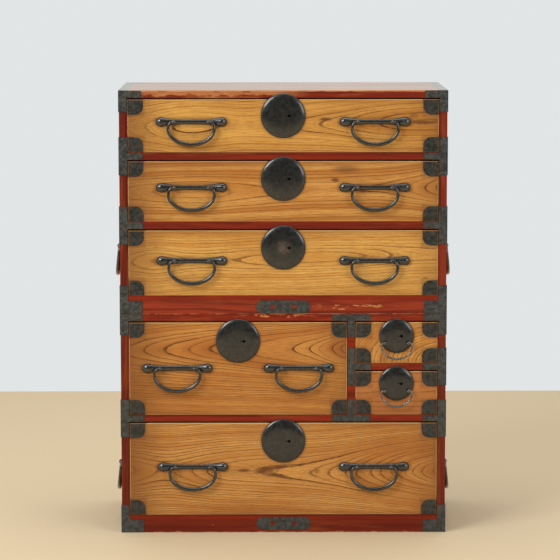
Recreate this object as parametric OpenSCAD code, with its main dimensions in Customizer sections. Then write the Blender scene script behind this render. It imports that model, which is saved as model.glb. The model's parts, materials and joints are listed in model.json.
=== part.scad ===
// Small tansu: two stacked cases of lacquered boards, seven plain drawers with forged
// locks and drop handles, and iron straps on the corners.
// Millimetres. +Z is up and the front faces -Y. The origin lies on the floor, under the
// middle of the chest's outline.

/* [Case boards] */
// Width over the side boards
case_w = 604; // [570:1:680]
// Depth from the front edges to the outside of the back planks
case_d = 300; // [270:1:380]
// Thickness of the side boards
side_t = 15; // [14:0.5:20]
// Thickness of each section's top board
top_t = 14.5; // [13:0.5:20]
// Thickness of each section's bottom board
floor_t = 9; // [7:0.5:12]
// Height of the plinth rails under each bottom board
plinth_h = 24.6; // [22:0.1:36]
// Thickness of the plinth rails
plinth_t = 18; // [12:1:25]
// Height of the upper section's front rails
rail_h = 14.2; // [13:0.1:20]
// Height of the lower section's front rails
lower_rail_h = 13.2; // [12.6:0.1:20]
// Depth of the front rails, front to back
rail_d = 30; // [26:1:50]
// Thickness of the dust boards behind the rails
shelf_t = 7; // [5:0.5:8]
// Width of the runner strips under the dust boards
runner_w = 15; // [10:1:25]
// Thickness of the back planks
back_t = 8; // [6:0.5:12]
// Number of planks in each section's back
back_planks = 3; // [2:1:5]
// Thickness of the upright divider of the lower section
divider_t = 14.6; // [13.6:0.2:18]
// Left face of the divider, from the middle of the chest
divider_x = 119; // [80:1:125]
// Width of the stepped-back strip along the side boards' inner front edges
reveal_w = 3.4; // [2:0.1:4]
// Depth of that strip
reveal_d = 1.5; // [1:0.1:3]

/* [Board joints] */
// How deep boards, tenons and planks are let into their neighbours
let_in = 5; // [3:0.5:6]
// How far a tenon is set in from its rail's faces
tenon_inset = 3; // [2:0.5:4]
// Number of fingers along each top corner
corner_fingers = 5; // [3:2:9]
// Number of fingers up each back corner of a drawer
box_fingers = 3; // [3:2:7]

/* [Drawer openings] */
// Height of the top drawer's opening
opening_1_h = 99.7; // [94:0.1:120]
// Height of the second drawer's opening
opening_2_h = 113.8; // [104:0.1:130]
// Height of the third drawer's opening
opening_3_h = 123.5; // [112:0.1:140]
// Height of the wide left drawer's opening in the lower section
opening_4_h = 175.9; // [170:0.1:200]
// Height of the upper small drawer's opening
opening_5_h = 78.9; // [76:0.1:82]
// Height of the bottom drawer's opening
opening_7_h = 176.3; // [160:0.1:200]

/* [Drawers] */
// Clearance at each side of a drawer
side_gap = 0.8; // [0.5:0.1:1.5]
// Clearance over a drawer's front
head_gap = 2.4; // [1.5:0.1:3]
// Clearance under a drawer's front
foot_gap = 0.4; // [0.3:0.1:1]
// Clearance between a closed drawer and the back planks
stop_gap = 0.3; // [0.3:0.1:0.8]
// How far the drawer fronts stand proud of the rails
front_proud = 0.6; // [0.4:0.1:0.9]
// Thickness of the drawer fronts
front_t = 18; // [17:0.5:22]
// Wood left in front of the sides, where they lap into the drawer front
lap_t = 6; // [5:0.5:8]
// Bevel round the face of a drawer front
edge_bevel = 0.9; // [0.5:0.1:1.9]
// Thickness of the drawer sides
box_side_t = 9; // [7:0.5:11]
// Thickness of the drawer backs
box_back_t = 9; // [7:0.5:11]
// Thickness of the drawer bottoms
box_floor_t = 6; // [4:0.5:8]
// How far the drawer sides stop below the top edge of the front
side_drop = 4; // [3:0.5:8]

/* [Locks] */
// Radius of the large lock discs
disc_r = 41.25; // [36:0.25:44]
// Radius of the small drawers' lock discs
small_disc_r = 32.5; // [28:0.25:33.5]
// Rise of the discs in the middle
disc_rise = 6; // [4:0.5:7]
// Centre of the top drawer's disc below the front's top edge
disc_1_drop = 29.8; // [28:0.1:34]
// Centre of the second drawer's disc below the front's top edge
disc_2_drop = 32; // [28:0.1:36]
// Centre of the third drawer's disc below the front's top edge
disc_3_drop = 31.5; // [28:0.1:36]
// Centre of the wide left drawer's disc below the front's top edge
disc_4_drop = 34.1; // [30:0.1:38]
// Centre of the upper small drawer's disc below the front's top edge
disc_5_drop = 24.9; // [22:0.1:28]
// Centre of the lower small drawer's disc below the front's top edge
disc_6_drop = 22.2; // [22:0.1:28]
// Centre of the bottom drawer's disc below the front's top edge
disc_7_drop = 33.5; // [30:0.1:38]
// Keyhole to the right of a large disc's centre
keyhole_x = 11; // [8:0.5:13]
// Keyhole to the right of a small disc's centre
small_keyhole_x = 9; // [7:0.5:11]
// Radius of the keyhole
key_r = 2.6; // [2:0.1:3]
// Width of the slit at the keyhole's left
slit_w = 1.6; // [1:0.1:2]
// Length of that slit
slit_l = 6; // [4:0.5:8]
// Width of a large lock case
lock_w = 48; // [44:1:60]
// Height of a large lock case
lock_h = 40; // [36:1:42]
// Width of a small lock case
small_lock_w = 38; // [36:1:46]
// Height of a small lock case
small_lock_h = 26; // [25:1:28]
// Middle of a lock case above the keyhole
lock_rise = 4; // [3:0.5:5]
// Depth of the lock case in the drawer front
lock_d = 6; // [5.5:0.5:8]
// Thickness of the lock cases' iron
lock_wall = 1.2; // [0.8:0.1:1.5]
// Width of the flange that screws to the back of the drawer front
lock_flange = 5; // [4:0.5:6]
// Clearance round a bolt in its case
bolt_gap = 0.3; // [0.2:0.1:0.5]
// Width of the bolts' tongues
tongue_w = 16; // [12:0.5:18]
// Distance that a bolt rises when it locks
bolt_travel = 8; // [7:0.5:8]
// Width of the notch that the key lifts a bolt by
talon_w = 10; // [8:0.5:11]
// Depth of the bolt mortises in the rails
mortise_d = 6.5; // [6:0.1:7]

/* [Drop handles] */
// Middle of a handle from the middle of a full-width drawer
handle_x = 169; // [150:1:185]
// Middle of a handle from the middle of the wide left drawer
handle_4_x = 113; // [112:1:118]
// Top drawer's handle bar below the front's top edge
handle_1_drop = 41.1; // [36:0.1:46]
// Second drawer's handle bar below the front's top edge
handle_2_drop = 48.3; // [40:0.1:52]
// Third drawer's handle bar below the front's top edge
handle_3_drop = 56.2; // [48:0.1:60]
// Wide left drawer's handle bar below the front's top edge
handle_4_drop = 85.6; // [70:0.1:95]
// Bottom drawer's handle bar below the front's top edge
handle_7_drop = 82.9; // [70:0.1:95]
// Half the length of a handle bar
bar_half_l = 66; // [60:0.5:72]
// Half the height of a bar at its waist
bar_waist = 4.4; // [3.8:0.1:5.5]
// Half the height of a bar at its thick ends
bar_end_h = 8.5; // [7.5:0.1:10]
// Length of the rounding at each end of a bar
bar_round_l = 10.5; // [8:0.5:14]
// How far a bar's round section is cut away at the back
bar_sink = 3; // [2:0.25:3.5]
// Where a bar starts to swell towards its ends, from its middle
neck_x = 28; // [20:1:36]
// Eye posts from the middle of a handle
post_x = 32; // [28:0.5:34]
// Radius of the eye posts
post_r = 2.2; // [1.8:0.1:2.6]
// Radius of the eyes
eye_r = 4.4; // [4:0.1:5]
// Radius of the bore through an eye
eye_bore_r = 2; // [1.8:0.05:2.4]
// Middle of an eye in front of the drawer face
eye_out = 10; // [9.5:0.5:12]
// A drop handle starts to bend this far outside its eyes
loop_bend_gap = 1.4; // [1:0.1:4]
// How far a drop handle swells past its bends
loop_swell = 6.4; // [6:0.1:10]
// Widest place of a drop handle below its pivots
loop_shoulder = 12; // [8:0.5:14]
// Bottom of a drop handle below its pivots, at the middle of its rod
loop_drop = 41; // [36:0.5:44]
// Radius of a drop handle's rod in the middle
loop_mid_r = 3.9; // [3:0.1:4.5]
// Radius of a drop handle's rod at its ends
loop_end_r = 2.1; // [2:0.1:2.6]

/* [Ring pulls] */
// Eye posts from the middle of a small disc
ring_post_x = 22.5; // [20:0.5:23]
// Eye posts below the middle of a small disc
ring_post_drop = 13; // [10:0.5:13.5]
// Radius of the ring pulls' posts
ring_post_r = 1.7; // [1.4:0.1:2]
// Radius of the ring pulls' eyes
ring_eye_r = 3.1; // [2.8:0.1:3.4]
// Radius of the bore through a ring pull's eye
ring_bore_r = 1.4; // [1.2:0.05:1.6]
// Middle of a ring pull's eye in front of the drawer face
ring_eye_out = 11; // [10.5:0.5:12]
// A ring pull starts to bend this far outside its eyes
ring_bend_gap = 0.7; // [0.6:0.1:2]
// How far a ring pull swells past its bends
ring_swell = 3.3; // [3.1:0.1:5]
// Widest place of a ring pull below its pivots
ring_shoulder = 6; // [4:0.5:6]
// Bottom of a ring pull below its pivots, at the middle of its rod
ring_drop = 29; // [25:0.1:30]
// Radius of a ring pull's rod in the middle
ring_mid_r = 1.9; // [1.6:0.1:2.4]
// Radius of a ring pull's rod at its ends
ring_end_r = 1.5; // [1.3:0.1:1.8]

/* [Carrying handles] */
// Pivots above the bottom of each section
carry_z = 116; // [100:1:200]
// Eye posts from the middle of the side
carry_post_y = 50; // [40:1:60]
// Radius of the carrying handles' posts
carry_post_r = 3; // [2.5:0.1:3.2]
// Radius of the carrying handles' eyes
carry_eye_r = 4.5; // [4.2:0.1:5]
// Radius of the bore through a carrying handle's eye
carry_bore_r = 2.4; // [2:0.05:2.6]
// Middle of the eye out from the side board
carry_eye_out = 5.6; // [5.6:0.1:8]
// Depth of the post in the side board
carry_post_depth = 12; // [8:0.5:12]
// Radius of the plate round each post
carry_plate_r = 13; // [10:0.5:16]
// A carrying handle starts to bend this far outside its eyes
carry_bend_gap = 2.6; // [1:0.1:6]
// How far a carrying handle swells past its bends
carry_swell = 7; // [6.5:0.5:10]
// Widest place of a carrying handle below its pivots
carry_shoulder = 14; // [10:0.5:15]
// Bottom of a carrying handle below its pivots, at the middle of its rod
carry_drop = 58; // [45:1:75]
// Radius of a carrying handle's rod in the middle
carry_mid_r = 4; // [3.5:0.1:5]
// Radius of a carrying handle's rod at its ends
carry_end_r = 2.7; // [2.6:0.1:3.2]
// How far the bottom of a carrying handle bows away from the side
carry_bow = 6.4; // [4:0.1:10]

/* [Iron straps] */
// Thickness of the straps on the cases
iron_t = 1.2; // [0.8:0.1:1.6]
// Depth of a strap's return round the side
wrap_d = 32; // [20:1:45]
// Length of a corner strap's arm along the front
corner_arm = 41; // [30:1:55]
// Length of a corner strap down from the top
corner_leg = 40; // [30:1:43]
// Height of a corner strap up from the bottom
foot_leg = 52; // [45:1:60]
// Reach of a tee strap above and below the middle of its rail
tee_reach = 35; // [28:1:38]
// Length of a tee strap's arm along its rail
tee_arm = 43; // [30:1:55]
// Width of the divider's top and bottom straps
divider_arm = 71; // [60:1:72]
// Reach of the divider's straps from their rails
divider_reach = 29; // [20:1:33]
// Edge of wood that shows beside a strap
strap_inset = 0.9; // [0.5:0.1:1.5]
// Width of the strap along each side of the top
top_strap_w = 17; // [12:1:22]
// Width of the drawers' corner plates
plate_w = 27.5; // [24:0.5:31]
// Height of the drawers' corner plates
plate_h = 27; // [22:0.5:30]
// Radius of a corner plate's free corner
plate_corner_r = 15; // [8:0.5:20]
// Flat wood between a corner plate and the bevel of the drawer front
plate_inset = 0.1; // [0:0.1:1.5]
// Thickness of the drawers' corner plates
plate_t = 0.9; // [0.6:0.1:1.2]
// Length of the plates in the middle of the plinths
plinth_plate_l = 101; // [80:1:120]
// Height of those plates
plinth_plate_h = 23.6; // [18:0.1:24]
// Middle of the upper plinth's plate above its bottom edge
upper_plate_z = 12.8; // [12.5:0.1:16]
// Middle of the lower plinth's plate above its bottom edge
lower_plate_z = 17.2; // [13:0.1:18]
// Heart-shaped cut-outs from the middle of a plinth plate
heart_x = 20; // [14:0.5:30]
// Radius of a heart's lobes
heart_r = 2.7; // [2:0.1:3.2]

/* [Hidden] */

lacquer = [0.52, 0.16, 0.10];
front_wood = [0.78, 0.57, 0.30];
box_wood = [0.82, 0.71, 0.52];
back_wood = [0.62, 0.49, 0.34];
iron = [0.24, 0.24, 0.25];

over = 1;            // how far a cutter runs past the face it opens
board_gap = 0.1;     // hairline between boards that meet inside one node
hole_gap = 0.15;     // clearance of a fixed post in its hole
pin_gap = 0.08;      // running clearance of a pin in its eye
seam_gap = 0.4;      // straps stop this far from one another and from a section's edge
eye_cheek = 0.4;     // an eye is this much wider than its post, each side
eye_edge = 0.7;      // bevel on the edges of an eye
rivet_t = 1.2;       // thickness of the clenched end behind a drawer front
rivet_swell = 2;     // a clenched end's radius, as a share of its post's
pin_stub = 1;        // a pin shows this much past its eye
loop_clear = 0.4;    // gap between an eye and the shoulder of the rod on its pin
loop_steps = 22;     // steps along a forged rod
bend_steps = 4;      // how many of them go round each of its upper bends
loop_sides = 10;     // sides of a forged rod
disc_steps = 14;     // rings across a lock disc's dome
flare_steps = 6;     // rings along each swelling of a handle bar
flare_power = 1.55;  // how late that swelling gathers

half_w = case_w / 2;
inner_x = half_w - side_t;
inner_back = case_d - back_t;
divider_right = divider_x + divider_t;

// Heights, from the floor up
opening_7_z = plinth_h + floor_t;
lower_rail_z = opening_7_z + opening_7_h;
opening_4_z = lower_rail_z + lower_rail_h;
lower_h = opening_4_z + opening_4_h + top_t;
opening_5_z = lower_h - top_t - opening_5_h;
small_rail_z = opening_5_z - lower_rail_h;
opening_6_h = small_rail_z - opening_4_z;
opening_3_z = lower_h + plinth_h + floor_t;
rail_3_z = opening_3_z + opening_3_h;
opening_2_z = rail_3_z + rail_h;
rail_2_z = opening_2_z + opening_2_h;
opening_1_z = rail_2_z + rail_h;
total_h = opening_1_z + opening_1_h + top_t;
upper_h = total_h - lower_h;

// The handles stand out furthest in front and the straps behind: both are in the outline
front_reach = front_proud + eye_out + loop_mid_r;
front_y = (front_reach - case_d - iron_t) / 2;

// A drawer: opening from x, to x, from z, its height, disc radius, disc drop,
// handle distance from the middle (0 with a ring pull), handle drop
drawer_1 = [-inner_x, inner_x, opening_1_z, opening_1_h, disc_r, disc_1_drop, handle_x, handle_1_drop];
drawer_2 = [-inner_x, inner_x, opening_2_z, opening_2_h, disc_r, disc_2_drop, handle_x, handle_2_drop];
drawer_3 = [-inner_x, inner_x, opening_3_z, opening_3_h, disc_r, disc_3_drop, handle_x, handle_3_drop];
drawer_4 = [-inner_x, divider_x, opening_4_z, opening_4_h, disc_r, disc_4_drop, handle_4_x, handle_4_drop];
drawer_5 = [divider_right, inner_x, opening_5_z, opening_5_h, small_disc_r, disc_5_drop, 0, 0];
drawer_6 = [divider_right, inner_x, opening_4_z, opening_6_h, small_disc_r, disc_6_drop, 0, 0];
drawer_7 = [-inner_x, inner_x, opening_7_z, opening_7_h, disc_r, disc_7_drop, handle_x, handle_7_drop];

function has_ring(d) = d[6] == 0;
function middle_x(d) = (d[0] + d[1]) / 2;
function opening_top(d) = d[2] + d[3];
function face_x(d) = d[0] + side_gap;
function face_w(d) = d[1] - d[0] - 2 * side_gap;
function face_z(d) = d[2] + foot_gap;
function face_h(d) = d[3] - foot_gap - head_gap;
function face_top(d) = face_z(d) + face_h(d);
function disc_z(d) = face_top(d) - d[5];
function bar_z(d) = face_top(d) - d[7];
function key_x(d) = has_ring(d) ? small_keyhole_x : keyhole_x;
function case_of_lock_w(d) = has_ring(d) ? small_lock_w : lock_w;
function case_of_lock_h(d) = has_ring(d) ? small_lock_h : lock_h;

front_face_y = -front_proud;
front_back_y = front_face_y + front_t;
box_front_y = front_face_y + lap_t;
box_end_y = inner_back - stop_gap;
lock_y = front_back_y - lock_d;
bolt_y = lock_y + lock_wall + bolt_gap;
bolt_t = lock_d - lock_wall - 2 * bolt_gap;

// ---------- small helpers ----------

// A box between two corners
module block(x0, x1, y0, y1, z0, z1) {
    translate([x0, y0, z0]) cube([x1 - x0, y1 - y0, z1 - z0]);
}

// Moves the working frame, whose y = 0 is the front edge of the boards, to its place
module in_chest() {
    translate([0, front_y, 0]) children();
}

// A round rod along Y
module rod_y(r, y0, y1) {
    translate([0, y0, 0]) rotate([-90, 0, 0]) cylinder(r = r, h = y1 - y0, $fn = 48);
}

// A round rod along X
module rod_x(r, x0, x1) {
    translate([x0, 0, 0]) rotate([0, 90, 0]) cylinder(r = r, h = x1 - x0, $fn = 48);
}

// Turns a drawing in X and Z into a plate that stands out of the plane y = 0
module plate_on_front(t) {
    rotate([90, 0, 0]) linear_extrude(t) children();
}

// A rectangle of a drawing, between two corners
module strip(x0, x1, z0, z1) {
    translate([x0, z0]) square([x1 - x0, z1 - z0]);
}

// Repeats a right-hand piece on the left
module both_sides() {
    children();
    mirror([1, 0, 0]) children();
}

// Turns a piece made at the front round to the back of the case
module at_back() {
    translate([0, case_d, 0]) mirror([0, 1, 0]) children();
}

// ---------- forged rods ----------

function unit(v) = v / norm(v);

// Corner points of a round rod of changing radius along a path
function rod_points(path, radii, outward) = [
    for (k = [0:len(path) - 1])
        let (ahead = path[min(k + 1, len(path) - 1)],
             behind = path[max(k - 1, 0)],
             along = unit(ahead - behind),
             across = unit(cross(along, outward)),
             out = cross(across, along))
        for (j = [0:loop_sides - 1])
            path[k] + radii[k] * (cos(360 * j / loop_sides) * out
                                  + sin(360 * j / loop_sides) * across)];

// Triangles of that rod, with both ends closed
function rod_faces(rings) = concat(
    [for (k = [0:rings - 2], j = [0:loop_sides - 1])
        [k * loop_sides + j, (k + 1) * loop_sides + j,
         (k + 1) * loop_sides + (j + 1) % loop_sides]],
    [for (k = [0:rings - 2], j = [0:loop_sides - 1])
        [k * loop_sides + j, (k + 1) * loop_sides + (j + 1) % loop_sides,
         k * loop_sides + (j + 1) % loop_sides]],
    [[for (j = [0:loop_sides - 1]) j]],
    [[for (j = [loop_sides - 1:-1:0]) (rings - 1) * loop_sides + j]]);

// Angle at step k of a loop: a quarter turn down each upper bend, and a half turn below
function loop_angle(k) =
    k < bend_steps ? 90 * (k / bend_steps - 1)
    : k > loop_steps - bend_steps ? 270 - 90 * (loop_steps - k) / bend_steps
    : 180 * (k - bend_steps) / (loop_steps - 2 * bend_steps);

// A hanging loop: from start it runs straight to its bend, then down a quarter of an ellipse
// to its widest place, and round half an ellipse to the other side. It bows outward,
// towards -Y, as it comes down.
function loop_path(start, bend, swell, shoulder, drop, bow) = concat(
    [[start, 0, 0]],
    [for (k = [0:loop_steps])
        let (a = loop_angle(k),
             on_bend = a < 0 || a > 180,
             x = on_bend ? sign(90 - a) * bend + swell * cos(a) : (bend + swell) * cos(a),
             z = on_bend ? -shoulder * (1 + sin(a)) : -shoulder - (drop - shoulder) * sin(a))
        [x, -bow * pow(max(0, -z / drop), 1.5), z]],
    [[-start, 0, 0]]);

// Radii along that path: thickest in the middle
function loop_radii(mid_r, end_r) = concat(
    [end_r],
    [for (k = [0:loop_steps]) end_r + (mid_r - end_r) * pow(sin(180 * k / loop_steps), 1.2)],
    [end_r]);

// A forged loop whose pins run inward along X, through the bored eyes of posts that stand
// at post from its middle, and show a little past them
module forged_loop(post, post_r, bore, bend_gap, swell, shoulder, drop, bow, mid_r, end_r) {
    start = post + eye_half_w(post_r) + loop_clear;
    bend = post + eye_half_w(post_r) + bend_gap;
    path = loop_path(start, bend, swell, shoulder, drop, bow);
    union() {
        polyhedron(rod_points(path, loop_radii(mid_r, end_r), [0, -1, 0]),
                   rod_faces(len(path)));
        both_sides()
            rod_x(bore - pin_gap, post - eye_half_w(post_r) - pin_stub, (start + bend) / 2);
    }
}

// Half the width of the eye on a post
function eye_half_w(r) = r + eye_cheek;

// A post from inside the wood to an eye, which is bored along X
module eye_post(r, eye, bore, out, depth, rivet) {
    half = eye_half_w(r);
    union() {
        translate([0, -out, 0]) rotate([0, 90, 0]) rotate_extrude($fn = 48) polygon([
            [bore, -half], [eye - eye_edge, -half], [eye, eye_edge - half],
            [eye, half - eye_edge], [eye - eye_edge, half], [bore, half]]);
        rod_y(r, 0.7 * bore + 0.3 * eye - out, depth);
        if (rivet) rod_y(rivet_swell * r, depth, depth + rivet_t);
    }
}

// ---------- case boards ----------

// Mortise in an upright for a front rail, cut to the right (1) or the left (-1) of x
module rail_mortise(x, z, h, way) {
    block(min(x - way * over, x + way * let_in), max(x - way * over, x + way * let_in),
          tenon_inset, rail_d - tenon_inset, z + tenon_inset, z + h - tenon_inset);
}

// Groove in an upright for the end of a dust board
module shelf_groove(x, z, h, way) {
    block(min(x - way * over, x + way * let_in), max(x - way * over, x + way * let_in),
          rail_d, inner_back + over, z + h - shelf_t, z + h);
}

// The space that a section's back planks fill
module back_space(z, h, extra) {
    block(-inner_x - let_in, inner_x + let_in, inner_back, case_d + extra,
          z - extra, z + h - top_t + let_in);
}

// Fingers of a section's top board, in the right-hand side board
module top_fingers(z, h) {
    step = case_d / corner_fingers;
    for (i = [1:2:corner_fingers - 2])
        block(inner_x, half_w, i * step, (i + 1) * step, z + h - top_t, z + h);
}

// Right-hand side board of a section that starts at z; levels holds [z, height] of its rails
module side_board(z, h, levels) {
    difference() {
        block(inner_x, half_w, 0, case_d, z, z + h);
        top_fingers(z, h);
        back_space(z, h, over);
        block(inner_x - over, inner_x + let_in, 0 - over, inner_back,
              z + plinth_h, z + plinth_h + floor_t);
        block(inner_x - over, inner_x + reveal_w, -over, reveal_d,
              z + plinth_h + floor_t, z + h - top_t);
        for (level = levels) {
            rail_mortise(inner_x, level[0], level[1], 1);
            shelf_groove(inner_x, level[0], level[1], 1);
        }
        for (end = [-1, 1])
            translate([half_w, case_d / 2 + end * carry_post_y, z + carry_z])
                rod_x(carry_post_r + hole_gap, -carry_post_depth, over);
    }
}

// Top board of a section, with its fingers and the mortises of the drawers under it
module top_board(z, h, drawers) {
    difference() {
        union() {
            block(-inner_x, inner_x, 0, case_d, z + h - top_t, z + h);
            both_sides() top_fingers(z, h);
        }
        back_space(z, h, over);
        for (d = drawers) bolt_mortise(d);
    }
}

module bottom_board(z) {
    block(-inner_x - let_in, inner_x + let_in, 0, inner_back,
          z + plinth_h, z + plinth_h + floor_t);
}

module plinth_rails(z) {
    block(-inner_x, inner_x, 0, plinth_t, z, z + plinth_h);
    block(-inner_x, inner_x, inner_back - plinth_t, inner_back, z, z + plinth_h);
}

// Planks that close the back of a section
module back_boards(z, h) {
    tall = (h - top_t + let_in) / back_planks;
    for (i = [0:back_planks - 1])
        block(-inner_x - let_in, inner_x + let_in, inner_back, case_d,
              z + i * tall, z + (i + 1) * tall - board_gap);
}

// Mortise over a drawer, which its lock's bolt rises into
module bolt_mortise(d) {
    block(middle_x(d) - tongue_w / 2 - over, middle_x(d) + tongue_w / 2 + over,
          bolt_y - over, bolt_y + bolt_t + over,
          opening_top(d) - over, opening_top(d) + mortise_d);
}

// Front rail between two uprights, over the drawer d, with a tenon at each end
module front_rail(x0, x1, z, h, d) {
    difference() {
        union() {
            block(x0 + board_gap, x1 - board_gap, 0, rail_d, z, z + h);
            block(x0 - let_in + board_gap, x1 + let_in - board_gap,
                  tenon_inset + board_gap, rail_d - tenon_inset - board_gap,
                  z + tenon_inset + board_gap, z + h - tenon_inset - board_gap);
        }
        bolt_mortise(d);
    }
}

// Dust board behind a rail, level with its top, on a runner strip at each end
module dust_board(x0, x1, z, h) {
    under = z + h - shelf_t;
    block(x0 - let_in + board_gap, x1 + let_in - board_gap, rail_d, inner_back, under, z + h);
    block(x0, x0 + runner_w, rail_d, inner_back, z, under - board_gap);
    block(x1 - runner_w, x1, rail_d, inner_back, z, under - board_gap);
}

// Upright between the wide drawer and the two small ones
module divider() {
    difference() {
        block(divider_x, divider_right, 0, inner_back,
              opening_4_z + board_gap, opening_4_z + opening_4_h);
        rail_mortise(divider_right, small_rail_z, lower_rail_h, -1);
        shelf_groove(divider_right, small_rail_z, lower_rail_h, -1);
    }
}

lower_levels_left = [[lower_rail_z, lower_rail_h]];
lower_levels_right = [[lower_rail_z, lower_rail_h], [small_rail_z, lower_rail_h]];
upper_levels = [[rail_3_z, rail_h], [rail_2_z, rail_h]];

module lower_side_left() {
    color(lacquer) in_chest() mirror([1, 0, 0]) side_board(0, lower_h, lower_levels_left);
}
module lower_side_right() {
    color(lacquer) in_chest() side_board(0, lower_h, lower_levels_right);
}
module lower_top_board() {
    color(lacquer) in_chest() top_board(0, lower_h, [drawer_4, drawer_5]);
}
module lower_bottom_board() {
    color(lacquer) in_chest() bottom_board(0);
}
module lower_back_boards() {
    color(back_wood) in_chest() back_boards(0, lower_h);
}
module lower_rails() {
    color(lacquer) in_chest() {
        plinth_rails(0);
        front_rail(-inner_x, inner_x, lower_rail_z, lower_rail_h, drawer_7);
        front_rail(divider_right, inner_x, small_rail_z, lower_rail_h, drawer_6);
        divider();
    }
}
module lower_dust_boards() {
    color(box_wood) in_chest() {
        dust_board(-inner_x, inner_x, lower_rail_z, lower_rail_h);
        dust_board(divider_right, inner_x, small_rail_z, lower_rail_h);
    }
}
// Right-hand side board of the upper section
module upper_side() {
    difference() {
        side_board(lower_h, upper_h, upper_levels);
        top_strap_seat();
    }
}
module upper_side_left() {
    color(lacquer) in_chest() mirror([1, 0, 0]) upper_side();
}
module upper_side_right() {
    color(lacquer) in_chest() upper_side();
}
module upper_top_board() {
    color(lacquer) in_chest() difference() {
        top_board(lower_h, upper_h, [drawer_1]);
        both_sides() top_strap_seat();
    }
}
module upper_bottom_board() {
    color(lacquer) in_chest() bottom_board(lower_h);
}
module upper_back_boards() {
    color(back_wood) in_chest() back_boards(lower_h, upper_h);
}
module upper_rails() {
    color(lacquer) in_chest() {
        plinth_rails(lower_h);
        front_rail(-inner_x, inner_x, rail_3_z, rail_h, drawer_3);
        front_rail(-inner_x, inner_x, rail_2_z, rail_h, drawer_2);
    }
}
module upper_dust_boards() {
    color(box_wood) in_chest() {
        dust_board(-inner_x, inner_x, rail_3_z, rail_h);
        dust_board(-inner_x, inner_x, rail_2_z, rail_h);
    }
}

// ---------- iron straps on the cases ----------

// Right-hand strap: a leg down the side board, an arm along the rail and a return
// round the side
module corner_strap(leg_z0, leg_z1, arm_z0, arm_z1, arm) {
    union() {
        plate_on_front(iron_t) {
            strip(inner_x + seam_gap, half_w, leg_z0, leg_z1);
            strip(half_w - arm, half_w, arm_z0, arm_z1);
        }
        block(half_w, half_w + iron_t, -iron_t, wrap_d, leg_z0, leg_z1);
    }
}

// Right-hand tee strap where a rail meets the side board
module tee_strap(z, h) {
    middle = z + h / 2;
    corner_strap(middle - tee_reach, middle + tee_reach,
                 z + strap_inset, z + h - strap_inset, tee_arm);
}

// Right-hand top and bottom corners of a section
module corner_straps(z, h) {
    corner_strap(z + h - corner_leg, z + h - seam_gap,
                 z + h - top_t + strap_inset, z + h - seam_gap, corner_arm);
    corner_strap(z + seam_gap, z + foot_leg,
                 z + seam_gap, z + plinth_h - strap_inset / 2, corner_arm);
}

// Straps round the divider: a tee at the top, one at the small rail, one at the bottom
module divider_straps() {
    x0 = divider_x + strap_inset;
    x1 = divider_right - strap_inset;
    middle = (divider_x + divider_right) / 2;
    top = lower_h - top_t;
    small_middle = small_rail_z + lower_rail_h / 2;
    plate_on_front(iron_t) {
        strip(middle - divider_arm / 2, middle + divider_arm / 2,
              top + strap_inset, lower_h - 2 * strap_inset);
        strip(x0, x1, top - divider_reach, top + 2 * strap_inset);
    }
    plate_on_front(iron_t) {
        strip(x0, x1, small_middle - tee_reach, small_middle + tee_reach);
        strip(x0, x0 + tee_arm, small_rail_z + strap_inset,
              small_rail_z + lower_rail_h - strap_inset);
    }
    plate_on_front(iron_t) {
        strip(middle - divider_arm / 2, middle + divider_arm / 2,
              lower_rail_z + strap_inset, opening_4_z - strap_inset);
        strip(x0, x1, opening_4_z - 2 * strap_inset, opening_4_z + divider_reach);
    }
}

// A heart, point down
module heart() {
    for (end = [-1, 1]) translate([end * heart_r * 0.8, 0]) circle(r = heart_r, $fn = 32);
    polygon([[-1.65 * heart_r, -0.5 * heart_r], [1.65 * heart_r, -0.5 * heart_r],
             [0, -2.2 * heart_r]]);
}

// Long plate with round ends and two hearts, in the middle of a plinth
module plinth_plate(z) {
    end_r = plinth_plate_h / 2;
    translate([0, 0, z]) plate_on_front(iron_t) difference() {
        union() {
            strip(-plinth_plate_l / 2 + end_r, plinth_plate_l / 2 - end_r, -end_r, end_r);
            for (end = [-1, 1])
                translate([end * (plinth_plate_l / 2 - end_r), 0]) circle(r = end_r, $fn = 64);
        }
        for (end = [-1, 1]) translate([end * heart_x, heart_r / 2]) heart();
    }
}

// Right-hand strap over the edge between the top board and the side board. It is let in
// level with the top, and turns down the side between the corner straps' returns.
module top_strap() {
    under = total_h - iron_t;
    beside = half_w - seam_gap;
    union() {
        block(half_w - top_strap_w, beside, seam_gap, case_d - seam_gap, under, total_h);
        block(half_w - corner_arm, beside, case_d - wrap_d, case_d - seam_gap, under, total_h);
        block(beside - over, half_w + iron_t, wrap_d + seam_gap, case_d - wrap_d - seam_gap,
              under, total_h);
        block(half_w, half_w + iron_t, wrap_d + seam_gap, case_d - wrap_d - seam_gap,
              total_h - top_strap_w, total_h);
    }
}

// The shallow seat that this strap is let into
module top_strap_seat() {
    under = total_h - iron_t;
    block(half_w - top_strap_w, half_w + over, -over, case_d + over, under, total_h + over);
    block(half_w - corner_arm, half_w + over, case_d - wrap_d, case_d + over,
          under, total_h + over);
}

// Posts and plates of the carrying handle on the right-hand side of a section
module carry_mount(z) {
    for (end = [-1, 1])
        translate([half_w, case_d / 2 + end * carry_post_y, z + carry_z])
            rotate([0, 0, 90]) {
                eye_post(carry_post_r, carry_eye_r, carry_bore_r, carry_eye_out,
                         carry_post_depth, false);
                difference() {
                    rod_y(carry_plate_r, -iron_t, 0);
                    rod_y(carry_post_r + hole_gap, -iron_t - over, over);
                }
            }
}

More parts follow.
